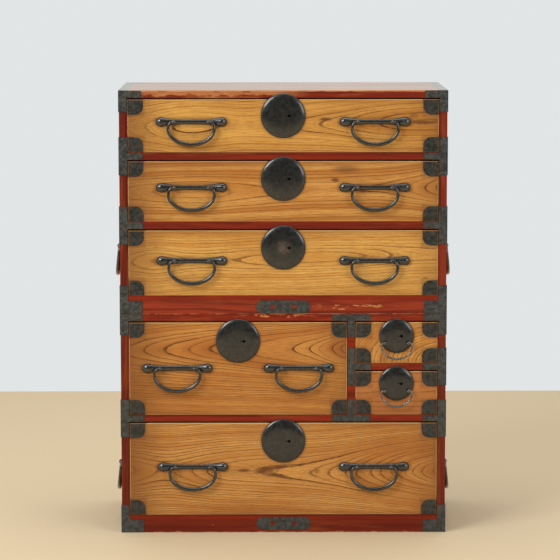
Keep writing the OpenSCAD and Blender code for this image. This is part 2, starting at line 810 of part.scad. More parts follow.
module lower_irons() {
    color(iron) in_chest() {
        both_sides() {
            corner_straps(0, lower_h);
            tee_strap(lower_rail_z, lower_rail_h);
            at_back() corner_straps(0, lower_h);
            carry_mount(0);
        }
        tee_strap(small_rail_z, lower_rail_h);
        divider_straps();
        plinth_plate(lower_plate_z);
    }
}
module upper_irons() {
    color(iron) in_chest() {
        both_sides() {
            corner_straps(lower_h, upper_h);
            tee_strap(rail_3_z, rail_h);
            tee_strap(rail_2_z, rail_h);
            at_back() corner_straps(lower_h, upper_h);
            top_strap();
            carry_mount(lower_h);
        }
        plinth_plate(lower_h + upper_plate_z);
    }
}

// ---------- drawers ----------

// Keyhole and its slit, from the disc's face into the lock case
module key_passage(d) {
    translate([middle_x(d) + key_x(d), 0, disc_z(d)]) {
        rod_y(key_r, front_face_y - disc_rise - over, lock_y + lock_wall + over);
        block(-slit_l, 0, front_face_y - disc_rise - over, lock_y + lock_wall + over,
              -slit_w / 2, slit_w / 2);
    }
}

// Puts children at each handle of a drawer, level with its bar
module at_handles(d) {
    for (end = [-1, 1])
        translate([middle_x(d) + end * d[6], front_face_y, bar_z(d)]) children();
}

// Holes of the posts in a drawer front or a disc
module post_holes(d) {
    if (has_ring(d))
        for (end = [-1, 1])
            translate([middle_x(d) + end * ring_post_x, 0, disc_z(d) - ring_post_drop])
                rod_y(ring_post_r + hole_gap, front_face_y - disc_rise - over, front_back_y + over);
    else
        at_handles(d) for (end = [-1, 1])
            translate([end * post_x, 0, 0])
                rod_y(post_r + hole_gap, -over, front_t + over);
}

// The recess of a lock and the groove of its bolt's tongue
module lock_recess(d) {
    w = case_of_lock_w(d);
    h = case_of_lock_h(d);
    translate([middle_x(d), 0, disc_z(d) + lock_rise])
        block(-w / 2, w / 2, lock_y, front_back_y + over, -h / 2, h / 2);
    block(middle_x(d) - tongue_w / 2 - bolt_gap, middle_x(d) + tongue_w / 2 + bolt_gap,
          lock_y + lock_wall, front_back_y + over, disc_z(d), face_top(d) + over);
}

// A board whose face has a bevel all round
module bevelled_front(d) {
    x0 = face_x(d);
    x1 = x0 + face_w(d);
    z0 = face_z(d);
    z1 = face_top(d);
    intersection() {
        translate([0, 0, z0]) linear_extrude(z1 - z0) polygon([
            [x0, front_back_y], [x0, front_face_y + edge_bevel], [x0 + edge_bevel, front_face_y],
            [x1 - edge_bevel, front_face_y], [x1, front_face_y + edge_bevel], [x1, front_back_y]]);
        translate([x0, 0, 0]) rotate([90, 0, 90]) linear_extrude(x1 - x0) polygon([
            [front_back_y, z0], [front_face_y + edge_bevel, z0], [front_face_y, z0 + edge_bevel],
            [front_face_y, z1 - edge_bevel], [front_face_y + edge_bevel, z1], [front_back_y, z1]]);
    }
}

module drawer_front(d) {
    x0 = face_x(d);
    x1 = x0 + face_w(d);
    floor_top = d[2] + box_floor_t;
    side_top = face_top(d) - side_drop;
    color(front_wood) in_chest() difference() {
        bevelled_front(d);
        block(x0 - over, x1 + over, box_front_y, front_back_y + over, d[2] - over, floor_top);
        block(x0 - over, x0 + box_side_t, box_front_y, front_back_y + over, d[2], side_top);
        block(x1 - box_side_t, x1 + over, box_front_y, front_back_y + over, d[2], side_top);
        lock_recess(d);
        key_passage(d);
        post_holes(d);
    }
}

// Fingers of a drawer's back in its sides: every second one, from the second up.
// With a gap of 0 they are the notches for those fingers.
module back_fingers(x0, x1, z0, z1, gap) {
    tall = (z1 - z0) / box_fingers;
    behind = gap > 0 ? 0 : over;
    ahead = gap > 0 ? 0 : board_gap;
    for (i = [1:2:box_fingers - 2])
        block(x0, x1, box_end_y - box_back_t - ahead, box_end_y + behind,
              z0 + i * tall + gap, z0 + (i + 1) * tall - gap);
}

module drawer_box(d) {
    x0 = face_x(d);
    x1 = x0 + face_w(d);
    z0 = d[2] + box_floor_t + board_gap;
    z1 = face_top(d) - side_drop;
    inset = box_side_t + board_gap;
    color(box_wood) in_chest() {
        block(x0, x1, box_front_y, box_end_y, d[2], d[2] + box_floor_t);
        for (x = [x0, x1 - box_side_t])
            difference() {
                block(x, x + box_side_t, box_front_y, box_end_y, z0, z1);
                back_fingers(x - over, x + box_side_t + over, z0, z1, 0);
            }
        union() {
            block(x0 + inset, x1 - inset, box_end_y - box_back_t, box_end_y, z0, z1);
            back_fingers(x0, x1, z0, z1, board_gap);
        }
    }
}

// One corner plate, drawn for the bottom left corner: only its free corner is round
module corner_plate() {
    plate_on_front(plate_t) intersection() {
        square([plate_w, plate_h]);
        union() {
            square([plate_w - plate_corner_r, plate_h]);
            square([plate_w, plate_h - plate_corner_r]);
            translate([plate_w - plate_corner_r, plate_h - plate_corner_r])
                circle(r = plate_corner_r, $fn = 64);
        }
    }
}

module corner_plates(d) {
    inset = edge_bevel + plate_inset;
    translate([middle_x(d), front_face_y, face_z(d) + face_h(d) / 2])
        for (right = [0, 1], top = [0, 1])
            mirror([right, 0, 0]) mirror([0, 0, top])
                translate([inset - face_w(d) / 2, 0, inset - face_h(d) / 2]) corner_plate();
}

// Shallow dome with a rolled rim
module lock_disc(d) {
    r = d[4];
    dome = [for (i = [0:disc_steps])
        let (a = 90 * i / disc_steps, s = pow(sin(a), 0.8))
        [r * s, disc_rise * pow(max(0, 1 - pow(s, 3.2)), 0.45)]];
    difference() {
        translate([middle_x(d), front_face_y, disc_z(d)]) rotate([90, 0, 0])
            rotate_extrude($fn = 96) polygon(concat([[0, 0]], dome));
        key_passage(d);
        if (has_ring(d)) post_holes(d);
    }
}

// Iron box of a lock, let into the drawer front, with a flange on its back
module lock_case(d) {
    w = case_of_lock_w(d);
    h = case_of_lock_h(d);
    difference() {
        translate([middle_x(d), 0, disc_z(d) + lock_rise]) difference() {
            union() {
                block(-w / 2, w / 2, lock_y, front_back_y, -h / 2, h / 2);
                block(-w / 2 - lock_flange, w / 2 + lock_flange, front_back_y,
                      front_back_y + lock_wall, -h / 2 - lock_flange, h / 2 + lock_flange);
            }
            block(lock_wall - w / 2, w / 2 - lock_wall, lock_y + lock_wall, front_back_y,
                  lock_wall - h / 2, h / 2 - lock_wall);
            block(-tongue_w / 2 - bolt_gap, tongue_w / 2 + bolt_gap, lock_y + lock_wall,
                  front_back_y, 0, h / 2 + over);
        }
        key_passage(d);
    }
}

// Half the height of a handle bar at x from its middle: a waist, a swelling, a round end
function bar_half_h(x) =
    let (round_x = bar_half_l - bar_round_l,
         swollen = max(0, x - neck_x) / (round_x - neck_x))
    x < round_x ? bar_waist + (bar_end_h - bar_waist) * pow(swollen, flare_power)
                : bar_end_h * sqrt(max(0, 1 - pow((x - round_x) / bar_round_l, 2)));

// A handle bar: round in section about an axis behind its flat back
module handle_bar() {
    round_x = bar_half_l - bar_round_l;
    stations = concat(
        [for (i = [0:flare_steps]) neck_x + (round_x - neck_x) * i / flare_steps],
        [for (a = [15:15:90]) round_x + bar_round_l * sin(a)]);
    right = [for (x = stations) [norm([bar_half_h(x), bar_sink]), x]];
    left = [for (i = [len(right) - 1:-1:0]) [right[i][0], -right[i][1]]];
    difference() {
        intersection() {
            translate([0, bar_sink, 0]) rotate([0, 90, 0]) rotate_extrude($fn = 48)
                polygon(concat([[0, -bar_half_l]], left, right, [[0, bar_half_l]]));
            block(-bar_half_l - over, bar_half_l + over, -2 * bar_end_h, 0,
                  -2 * bar_end_h, 2 * bar_end_h);
        }
        for (end = [-1, 1]) translate([end * post_x, 0, 0])
            rod_y(post_r + hole_gap, -2 * bar_end_h, over);
    }
}

module drawer_ironwork(d) {
    color(iron) in_chest() {
        corner_plates(d);
        lock_disc(d);
        lock_case(d);
        if (has_ring(d))
            for (end = [-1, 1])
                translate([middle_x(d) + end * ring_post_x, front_face_y, disc_z(d) - ring_post_drop])
                    eye_post(ring_post_r, ring_eye_r, ring_bore_r, ring_eye_out, front_t, true);
        else
            at_handles(d) {
                handle_bar();
                for (end = [-1, 1]) translate([end * post_x, 0, 0])
                    eye_post(post_r, eye_r, eye_bore_r, eye_out, front_t, true);
            }
    }
}

// ---------- moving ironwork ----------

// Bolt: a plate in the lock case, notched for the key, and a tongue that rises from it
module lock_bolt(d) {
    w = case_of_lock_w(d) - 2 * lock_wall - 2 * bolt_gap;
    bottom = lock_wall - case_of_lock_h(d) / 2;
    tall = case_of_lock_h(d) - 2 * lock_wall - bolt_travel - 1;
    key_off = key_x(d);
    color(iron) in_chest() translate([middle_x(d), 0, disc_z(d) + lock_rise])
        difference() {
            union() {
                block(-w / 2, w / 2, bolt_y, bolt_y + bolt_t, bottom, bottom + tall);
                block(-tongue_w / 2, tongue_w / 2, bolt_y, bolt_y + bolt_t, bottom,
                      d[5] - lock_rise - 2 * bolt_gap);
            }
            block(key_off - talon_w / 2, key_off + talon_w / 2, bolt_y - over,
                  bolt_y + bolt_t + over, bottom - over, bottom + tall - 3);
        }
}

// Drop handle on the left (-1) or the right (1) of a drawer
module drop_handle(d, end) {
    color(iron) in_chest()
        translate([middle_x(d) + end * d[6], front_face_y - eye_out, bar_z(d)])
            forged_loop(post_x, post_r, eye_bore_r, loop_bend_gap, loop_swell, loop_shoulder,
                        loop_drop, 0, loop_mid_r, loop_end_r);
}

module ring_pull(d) {
    color(iron) in_chest()
        translate([middle_x(d), front_face_y - ring_eye_out, disc_z(d) - ring_post_drop])
            forged_loop(ring_post_x, ring_post_r, ring_bore_r, ring_bend_gap, ring_swell,
                        ring_shoulder, ring_drop, 0, ring_mid_r, ring_end_r);
}

// Carrying handle on the right-hand side of the section that starts at z
module carry_handle(z) {
    translate([half_w + carry_eye_out, case_d / 2, z + carry_z]) rotate([0, 0, 90])
        forged_loop(carry_post_y, carry_post_r, carry_bore_r, carry_bend_gap, carry_swell,
                    carry_shoulder, carry_drop, carry_bow, carry_mid_r, carry_end_r);
}

module carry_handle_lower_left() { color(iron) in_chest() mirror([1, 0, 0]) carry_handle(0); }
module carry_handle_lower_right() { color(iron) in_chest() carry_handle(0); }
module carry_handle_upper_left() { color(iron) in_chest() mirror([1, 0, 0]) carry_handle(lower_h); }
module carry_handle_upper_right() { color(iron) in_chest() carry_handle(lower_h); }

// ---------- the chest ----------

lower_side_left();
lower_side_right();
lower_top_board();
lower_bottom_board();
lower_back_boards();
lower_rails();
lower_dust_boards();
lower_irons();
upper_side_left();
upper_side_right();
upper_top_board();
upper_bottom_board();
upper_back_boards();
upper_rails();
upper_dust_boards();
upper_irons();
drawer_front(drawer_1);  // drawer_1_front
drawer_box(drawer_1);  // drawer_1_box
drawer_ironwork(drawer_1);  // drawer_1_ironwork
drawer_front(drawer_2);  // drawer_2_front
drawer_box(drawer_2);  // drawer_2_box
drawer_ironwork(drawer_2);  // drawer_2_ironwork
drawer_front(drawer_3);  // drawer_3_front
drawer_box(drawer_3);  // drawer_3_box
drawer_ironwork(drawer_3);  // drawer_3_ironwork
drawer_front(drawer_4);  // drawer_4_front
drawer_box(drawer_4);  // drawer_4_box
drawer_ironwork(drawer_4);  // drawer_4_ironwork
drawer_front(drawer_5);  // drawer_5_front
drawer_box(drawer_5);  // drawer_5_box
drawer_ironwork(drawer_5);  // drawer_5_ironwork
drawer_front(drawer_6);  // drawer_6_front
drawer_box(drawer_6);  // drawer_6_box
drawer_ironwork(drawer_6);  // drawer_6_ironwork
drawer_front(drawer_7);  // drawer_7_front
drawer_box(drawer_7);  // drawer_7_box
drawer_ironwork(drawer_7);  // drawer_7_ironwork
lock_bolt(drawer_1);  // lock_bolt_1
lock_bolt(drawer_2);  // lock_bolt_2
lock_bolt(drawer_3);  // lock_bolt_3
lock_bolt(drawer_4);  // lock_bolt_4
lock_bolt(drawer_5);  // lock_bolt_5
lock_bolt(drawer_6);  // lock_bolt_6
lock_bolt(drawer_7);  // lock_bolt_7
drop_handle(drawer_1, -1);  // handle_1_left
drop_handle(drawer_1, 1);  // handle_1_right
drop_handle(drawer_2, -1);  // handle_2_left
drop_handle(drawer_2, 1);  // handle_2_right
drop_handle(drawer_3, -1);  // handle_3_left
drop_handle(drawer_3, 1);  // handle_3_right
drop_handle(drawer_4, -1);  // handle_4_left
drop_handle(drawer_4, 1);  // handle_4_right
ring_pull(drawer_5);  // ring_pull_5
ring_pull(drawer_6);  // ring_pull_6
drop_handle(drawer_7, -1);  // handle_7_left
drop_handle(drawer_7, 1);  // handle_7_right
carry_handle_lower_left();
carry_handle_lower_right();
carry_handle_upper_left();
carry_handle_upper_right();
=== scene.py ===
"""Builds the looks of a two-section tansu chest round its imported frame.

The boards, boxes and flat straps are the frame's own nodes with procedural finishes.
The forged and domed ironwork of the drawers, the handles and the nails are modelled here.
All lengths are in metres.
"""

import json
import logging
import math
from dataclasses import dataclass
from enum import Enum
from functools import reduce
from types import SimpleNamespace

import bmesh
import bpy
import numpy as np
from mathutils import Euler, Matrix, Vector

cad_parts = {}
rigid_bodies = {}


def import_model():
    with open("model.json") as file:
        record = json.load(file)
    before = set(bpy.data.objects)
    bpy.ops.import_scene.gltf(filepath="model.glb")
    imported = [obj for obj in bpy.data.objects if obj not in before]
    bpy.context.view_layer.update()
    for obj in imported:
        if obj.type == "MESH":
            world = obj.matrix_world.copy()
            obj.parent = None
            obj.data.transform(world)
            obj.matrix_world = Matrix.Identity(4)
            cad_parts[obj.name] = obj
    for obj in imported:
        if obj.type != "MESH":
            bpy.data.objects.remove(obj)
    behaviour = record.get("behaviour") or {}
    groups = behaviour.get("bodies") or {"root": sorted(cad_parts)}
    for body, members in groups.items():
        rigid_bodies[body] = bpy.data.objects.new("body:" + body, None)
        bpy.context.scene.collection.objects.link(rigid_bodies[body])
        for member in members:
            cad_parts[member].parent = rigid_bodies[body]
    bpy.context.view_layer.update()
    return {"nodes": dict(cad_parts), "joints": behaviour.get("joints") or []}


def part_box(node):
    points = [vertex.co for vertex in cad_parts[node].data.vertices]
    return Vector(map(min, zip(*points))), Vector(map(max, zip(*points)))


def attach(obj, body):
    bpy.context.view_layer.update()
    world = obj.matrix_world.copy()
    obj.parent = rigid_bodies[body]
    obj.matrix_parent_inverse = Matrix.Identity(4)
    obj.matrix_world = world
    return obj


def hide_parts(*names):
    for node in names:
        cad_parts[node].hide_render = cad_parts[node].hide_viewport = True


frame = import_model()

log = logging.getLogger("tansu")
MM = 0.001
# A height or a distance that nothing on the chest reaches
NEVER = 99.0
# Points nearer than this to each other are one, and nearer than this to a plane lie in it
WELD = 1e-7
IN_PLANE = 1e-5
# Red, green and blue in sRGB, 0 to 255
Colour = tuple[float, float, float]


def srgb(red: float, green: float, blue: float) -> tuple[float, float, float, float]:
    """Turns an sRGB colour, 0 to 255, into the linear colour that a shader takes.

    Args:
        red: Red, 0 to 255.
        green: Green, 0 to 255.
        blue: Blue, 0 to 255.

    Returns:
        The linear colour with an alpha of 1.
    """
    parts = [value / 255.0 for value in (red, green, blue)]
    linear = [p / 12.92 if p <= 0.04045 else ((p + 0.055) / 1.055) ** 2.4 for p in parts]
    return (linear[0], linear[1], linear[2], 1.0)


# ---------- meshes from numpy surfaces ----------


def quads(index: np.ndarray) -> list[tuple[int, ...]]:
    """Faces over a grid of point numbers that closes on itself along each row.

    Args:
        index: Point numbers. (k, j) is joined to (k + 1, j) and (k, j + 1).

    Returns:
        The faces.
    """
    turned = np.roll(index, -1, axis=1)
    faces = np.stack([index[:-1], index[1:], turned[1:], turned[:-1]], axis=-1)
    return [tuple(face) for face in faces.reshape(-1, 4).tolist()]


@dataclass
class Shell:
    """Points and faces of a closed surface that is being put together."""

    points: np.ndarray
    faces: list[tuple[int, ...]]

    def moved(self, offset: tuple[float, float, float]) -> "Shell":
        """Returns a copy moved by offset."""
        return Shell(self.points + np.asarray(offset, float), list(self.faces))

    @staticmethod
    def joined(shells: list["Shell"]) -> "Shell":
        """Puts several shells into one.

        Args:
            shells: The shells, which keep their own points.

        Returns:
            One shell with all their points and faces.
        """
        points, faces, base = [], [], 0
        for shell in shells:
            points.append(shell.points)
            faces.extend(tuple(i + base for i in face) for face in shell.faces)
            base += len(shell.points)
        return Shell(np.vstack(points), faces)


def tube(rings: np.ndarray) -> Shell:
    """Joins closed rings of points into a tube with a fan over each end.

    Args:
        rings: Points as an array of rings, sides and coordinates.

    Returns:
        A closed shell.
    """
    count, sides, _ = rings.shape
    index = np.arange(count * sides).reshape(count, sides)
    ends = np.array([rings[0].mean(axis=0), rings[-1].mean(axis=0)])
    first, last = count * sides, count * sides + 1
    fans = [(first, j, (j + 1) % sides) for j in range(sides)]
    fans += [(last, first - sides + (j + 1) % sides, first - sides + j) for j in range(sides)]
    return Shell(np.vstack([rings.reshape(-1, 3), ends]), quads(index) + fans)


def swept_rod(path: np.ndarray, radii: np.ndarray, outward: np.ndarray) -> Shell:
    """Carries a circle of changing radius along a path.

    The point at turn a of ring k is path[k] + radius[k] * (cos a * out + sin a * across).

    Args:
        path: Centre points, one a row.
        radii: Radius at each point.
        outward: A direction that is never along the path.

    Returns:
        A closed rod with fan ends.
    """
    along = np.gradient(path, axis=0)
    along /= np.linalg.norm(along, axis=1, keepdims=True)
    across = np.cross(along, outward)
    across /= np.linalg.norm(across, axis=1, keepdims=True)
    out = np.cross(across, along)
    turn = np.linspace(0, 2 * math.pi, 20, endpoint=False)[None, :, None]
    ring = np.cos(turn) * out[:, None, :] + np.sin(turn) * across[:, None, :]
    return tube(path[:, None, :] + radii[:, None, None] * ring)


def lathe(profile: np.ndarray, axis: str, sides: int = 48) -> Shell:
    """Turns a profile round an axis through the origin.

    Args:
        profile: Rows of radius and place along the axis, from one end to the other.
        axis: "x", "y" or "z". Places on "y" count towards the front, which is -Y.
        sides: Points in a ring.

    Returns:
        A closed shell.
    """
    turn = np.linspace(0, 2 * math.pi, sides, endpoint=False)
    radius, place = profile[:, 0:1], np.repeat(profile[:, 1:2], sides, axis=1)
    a, b = radius * np.cos(turn)[None, :], radius * np.sin(turn)[None, :]
    columns = {"x": (place, a, b), "y": (a, -place, b), "z": (a, b, place)}[axis]
    return tube(np.stack(columns, axis=-1))


def add_object(name: str, data: bpy.types.ID) -> bpy.types.Object:
    """Adds an object with this data to the scene."""
    made = bpy.data.objects.new(name, data)
    bpy.context.scene.collection.objects.link(made)
    return made


def make_piece(name: str, shell: Shell, body: str, finish: bpy.types.Material,
               smooth_angle: float = 40.0) -> bpy.types.Object:
    """Puts a shell into a mesh object that rides on a body, with its faces turned outwards.

    Args:
        name: Name of the object.
        shell: Its closed surface, in place in the row frame.
        body: The body it rides on.
        finish: Its material.
        smooth_angle: Edges sharper than this many degrees stay sharp.

    Returns:
        The new object.
    """
    mesh = bpy.data.meshes.new(name)
    mesh.from_pydata(shell.points.tolist(), [], shell.faces)
    mesh.validate()
    work = bmesh.new()
    work.from_mesh(mesh)
    bmesh.ops.remove_doubles(work, verts=work.verts, dist=WELD)
    bmesh.ops.recalc_face_normals(work, faces=work.faces)
    for face in work.faces:
        face.smooth = True
    limit = math.radians(smooth_angle)
    for edge in work.edges:
        if len(edge.link_faces) == 2 and edge.calc_face_angle(0.0) > limit:
            edge.smooth = False
    work.to_mesh(mesh)
    work.free()
    mesh.materials.append(finish)
    piece = add_object(name, mesh)
    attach(piece, body)
    log.info("%s: %d faces on %s", name, len(mesh.polygons), body)
    return piece


def island_shells(node: str) -> list[Shell]:
    """Splits a CAD node into its separate solids.

    Args:
        node: Name of the node, whose own mesh is left as it is.

    Returns:
        One shell for each solid.
    """
    mesh = frame["nodes"][node].data
    points = np.empty(len(mesh.vertices) * 3)
    mesh.vertices.foreach_get("co", points)
    points = points.reshape(-1, 3)
    corners = np.empty(len(mesh.loops), int)
    mesh.loops.foreach_get("vertex_index", corners)
    triangles = corners.reshape(-1, 3)
    merged, back = np.unique(np.round(points, 6), axis=0, return_inverse=True)
    triangles = back.reshape(-1)[triangles]
    label = np.arange(len(merged))
    while True:
        lowest = label[triangles].min(axis=1)
        before = label.copy()
        for column in range(3):
            np.minimum.at(label, triangles[:, column], lowest)
        label = label[label]
        if (label == before).all():
            break
    shells = []
    for key in np.unique(label[triangles[:, 0]]):
        chosen = triangles[label[triangles[:, 0]] == key]
        used, packed = np.unique(chosen, return_inverse=True)
        shells.append(Shell(merged[used], [tuple(t) for t in packed.reshape(-1, 3).tolist()]))
    return shells

# ---------- shader wiring ----------


def add_node(tree: bpy.types.NodeTree, kind: str, *given: "Given", **settings) -> bpy.types.Node:
    """Adds a shader node.

    Args:
        tree: The tree that it joins.
        kind: Its kind, such as "TexNoise".
        *given: What its first inputs take.
        **settings: Its own settings.

    Returns:
        The node.
    """
    node = tree.nodes.new("ShaderNode" + kind)
    for key, value in settings.items():
        setattr(node, key, value)
    for socket, value in zip(node.inputs, given):
        feed(socket, value)
    return node


def first_output(tree: bpy.types.NodeTree, kind: str, *given: "Given", **settings) -> "Value":
    """Adds a shader node and returns its first output."""
    return Value(add_node(tree, kind, *given, **settings).outputs[0])


def feed(socket: bpy.types.NodeSocket, given: "Given") -> None:
    """Joins a value to a socket, or sets the socket to a number, a vector or a linear colour."""
    if isinstance(given, Value):
        given.tree.links.new(given.socket, socket)
    else:
        socket.default_value = given


class Value:
    """A number, vector, colour or shader that a node puts out. Sums with it add Math nodes."""

    def __init__(self, socket: bpy.types.NodeSocket) -> None:
        """Keeps the output socket and its tree."""
        self.socket = socket
        self.tree = socket.id_data

    def math(self, operation: str, *others: "Given") -> "Value":
        """Adds a Math node that takes this value first."""
        return first_output(self.tree, "Math", self, *others, operation=operation)

    def __add__(self, other: "Given") -> "Value":
        """This value plus another."""
        return self.math("ADD", other)

    def __sub__(self, other: "Given") -> "Value":
        """This value less another."""
        return self.math("SUBTRACT", other)

    def __rsub__(self, number: float) -> "Value":
        """A number less this value."""
        return first_output(self.tree, "Math", number, self, operation="SUBTRACT")

    def __mul__(self, other: "Given") -> "Value":
        """This value times another."""
        return self.math("MULTIPLY", other)

    def __truediv__(self, other: "Given") -> "Value":
        """This value divided by another."""
        return self.math("DIVIDE", other)

    def __abs__(self) -> "Value":
        """This value without its sign."""
        return self.math("ABSOLUTE")

    def scaled(self, by: "Given") -> "Value":
        """This vector times another, part by part."""
        return first_output(self.tree, "VectorMath", self, by, operation="MULTIPLY")

    def shifted(self, by: "Given") -> "Value":
        """This vector plus another."""
        return first_output(self.tree, "VectorMath", self, by, operation="ADD")

    def parts(self) -> list["Value"]:
        """X, Y and Z of this vector."""
        return [Value(part) for part in add_node(self.tree, "SeparateXYZ", self).outputs]

    def noise(self, stretch: "float | tuple[float, float, float]", detail: float = 2.0,
              roughness: float = 0.5) -> "Value":
        """Noise about 0.5 over this vector.

        Args:
            stretch: How much finer it is than a metre, one number or one along each axis.
            detail: Octaves of finer noise.
            roughness: How strong the finer noise is.

        Returns:
            The noise.
        """
        even = isinstance(stretch, float)
        node = add_node(self.tree, "TexNoise", self if even else self.scaled(stretch))
        for label, value in {"Scale": stretch if even else 1.0, "Detail": detail,
                             "Roughness": roughness}.items():
            feed(node.inputs[label], value)
        return Value(node.outputs["Fac"])

    def noise_along(self, detail: float = 1.0) -> "Value":
        """Noise about 0.5 over this number."""
        node = add_node(self.tree, "TexNoise", noise_dimensions="1D")
        for label, value in {"W": self, "Scale": 1.0, "Detail": detail}.items():
            feed(node.inputs[label], value)
        return Value(node.outputs["Fac"])

    def between(self, low: "Given", high: "Given", start: "Given" = 0.0, end: "Given" = 1.0) -> "Value":
        """Maps low to high smoothly onto start to end."""
        return first_output(self.tree, "MapRange", self, low, high, start, end,
                            interpolation_type="SMOOTHSTEP")

    def mix(self, first: "Value | Colour", second: "Value | Colour") -> "Value":
        """Mixes two colours with this value as the second one's share."""
        node = add_node(self.tree, "Mix", self, data_type="RGBA")
        for socket, colour in zip(node.inputs[6:8], (first, second)):
            feed(socket, colour if isinstance(colour, Value) else srgb(*colour))
        return Value(node.outputs[2])


Given = Value | float | tuple[float, ...]


def vector(x: Given, y: Given, z: Value) -> Value:
    """A vector with these parts."""
    return first_output(z.tree, "CombineXYZ", x, y, z)


def distance(first: Value, second: Value) -> Value:
    """The root of first^2 + second^2."""
    return (first * first + second * second).math("SQRT")


def coated(base: Value, layers: list[tuple[Value, Value | Colour]]) -> Value:
    """Lays colours over a base, each by its own share.

    Args:
        base: The colour underneath.
        layers: Share and colour of each layer, from the lowest up.

    Returns:
        The colour that shows.
    """
    for share, colour in layers:
        base = share.mix(base, colour)
    return base


class Effect:
    """A shader node group that is made once and placed in many materials.

    Every group takes the vector that it works over and a seed.
    """

    name = "effect"
    inputs: tuple[str, ...] = ()
    outputs: tuple[str, ...] = ()

    @classmethod
    def tree(cls) -> bpy.types.NodeTree:
        """Returns the group's tree, made at its first use."""
        made = bpy.data.node_groups.get(cls.name)
        if made:
            return made
        tree = bpy.data.node_groups.new(cls.name, "ShaderNodeTree")
        tree.interface.new_socket("vector", in_out="INPUT", socket_type="NodeSocketVector")
        for way, labels in (("INPUT", (*cls.inputs, "seed")), ("OUTPUT", cls.outputs)):
            for label in labels:
                tree.interface.new_socket(label, in_out=way, socket_type="NodeSocketFloat")
        start = tree.nodes.new("NodeGroupInput")
        end = tree.nodes.new("NodeGroupOutput")
        given = SimpleNamespace(**{out.name: Value(out) for out in start.outputs if out.name})
        seeded = given.vector.shifted(vector(given.seed, given.seed, given.seed))
        for label, value in cls.build(seeded, given).items():
            feed(end.inputs[label], value)
        return tree

    @classmethod
    def build(cls, seeded: Value, given: SimpleNamespace) -> dict[str, Value]:
        """Wires the effect.

        Args:
            seeded: The vector, shifted by the seed, for noise.
            given: The group's inputs by name.

        Returns:
            The group's outputs by name.
        """
        raise NotImplementedError

    @classmethod
    def place(cls, over: Value, **values: float) -> SimpleNamespace:
        """Places the group in a material.

        Args:
            over: The vector that it works over.
            **values: The other inputs by name.

        Returns:
            The group's outputs by name.
        """
        node = add_node(over.tree, "Group", node_tree=cls.tree())
        for label, value in {"vector": over, **values}.items():
            feed(node.inputs[label], value)
        return SimpleNamespace(**{out.name: Value(out) for out in node.outputs})


class FlatSawnGrain(Effect):
    """Growth rings of a board sawn flat from a trunk that lies along X behind its face.

    A point's ring is its distance from the trunk's heart. The heart's depth changes along
    the board by a taper and two swells, which draws arches and closed eyes on the face.
    """

    name = "flat_sawn_grain"
    inputs = ("heart_depth", "heart_height", "taper", "drift", "wander", "ring_width",
              "first_place", "first_spread", "first_rise",
              "second_place", "second_spread", "second_rise")
    outputs = ("line", "fine", "fibre", "pores", "band", "tone")

    @staticmethod
    def swell(x: Value, place: Value, spread: Value, rise: Value) -> Value:
        """Bell-shaped change of the heart's depth: rise * exp(-((x - place) / spread)^2)."""
        away = (x - place) / spread
        return (away * away * -1.0).math("EXPONENT") * rise

    @classmethod
    def radius(cls, seeded: Value, given: SimpleNamespace) -> Value:
        """Distance from the heart: the root of depth^2 + height^2, both with a little wander.

        Args:
            seeded: The vector for noise.
            given: The group's inputs by name.

        Returns:
            The distance.
        """
        x, y, z = given.vector.parts()
        wave = seeded.noise((5.0, 9.0, 16.0)) - 0.5
        side_wave = seeded.noise((9.0, 9.0, 22.0), 3.0) - 0.5
        depth = (given.heart_depth + y + x * given.taper
                 + cls.swell(x, given.first_place, given.first_spread, given.first_rise)
                 + cls.swell(x, given.second_place, given.second_spread, given.second_rise)
                 + wave * given.wander)
        height = z - given.heart_height - x * given.drift + side_wave * given.wander
        return distance(depth, height)

    @classmethod
    def build(cls, seeded: Value, given: SimpleNamespace) -> dict[str, Value]:
        """Wires rings of uneven strength, fine lines, fibres, pores, bands and a broad tone."""
        even = cls.radius(seeded, given) / given.ring_width
        uneven = (even * 0.3 + given.seed).noise_along(2.0)
        ripple = seeded.noise((150.0, 60.0, 380.0)) - 0.5
        rings = even + uneven * 1.6 + ripple * 0.11
        inside = rings.math("FRACT")
        fade = (1.0 - inside).math("POWER", 2.5) * 0.4
        fall = inside.between(0.21, 0.07).math("MAXIMUM", fade)
        rise = inside.between(0.95, 1.0)
        number = (rings + 0.05).math("FLOOR")
        strength = (number * 7.31 + given.seed).noise_along().between(0.38, 0.58, 0.42, 1.0)
        broken = seeded.noise((40.0, 55.0, 200.0), 3.0).between(0.3, 0.6, 0.6, 1.0)
        fine = (1.0 - (rings * 4.0 + ripple * 1.1).math("FRACT")).math("POWER", 2.0)
        dashes = seeded.noise((85.0, 900.0, 1100.0), 1.0).between(0.58, 0.68)
        return {
            "line": fall.math("MAXIMUM", rise) * strength * broken,
            "fine": fine * seeded.noise((8.0, 8.0, 30.0)).between(0.3, 0.65, 0.25, 1.0),
            "fibre": seeded.noise((34.0, 300.0, 640.0), 4.0, 0.62),
            "pores": dashes * inside.between(0.0, 0.8, 1.0, 0.25),
            "band": (rings * 0.33 + given.seed).noise_along(2.0),
            "tone": seeded.noise((3.2, 5.0, 11.0), 3.0),
        }


class StraightGrain(Effect):
    """Straight narrow grain along X, for plain boards."""

    name = "straight_grain"
    outputs = ("streak", "fibre", "tone")

    @classmethod
    def build(cls, seeded: Value, given: SimpleNamespace) -> dict[str, Value]:
        """Wires long streaks, fibres and a broad tone."""
        bend = seeded.noise((4.0, 10.0, 10.0)) * 3.0
        bent = seeded.scaled((1.0, 120.0, 120.0)).shifted(vector(0.0, bend, bend))
        return {"streak": bent.noise(1.0, 3.0, 0.6), "fibre": seeded.noise((30.0, 900.0, 900.0)),
                "tone": seeded.noise((3.0, 6.0, 6.0))}


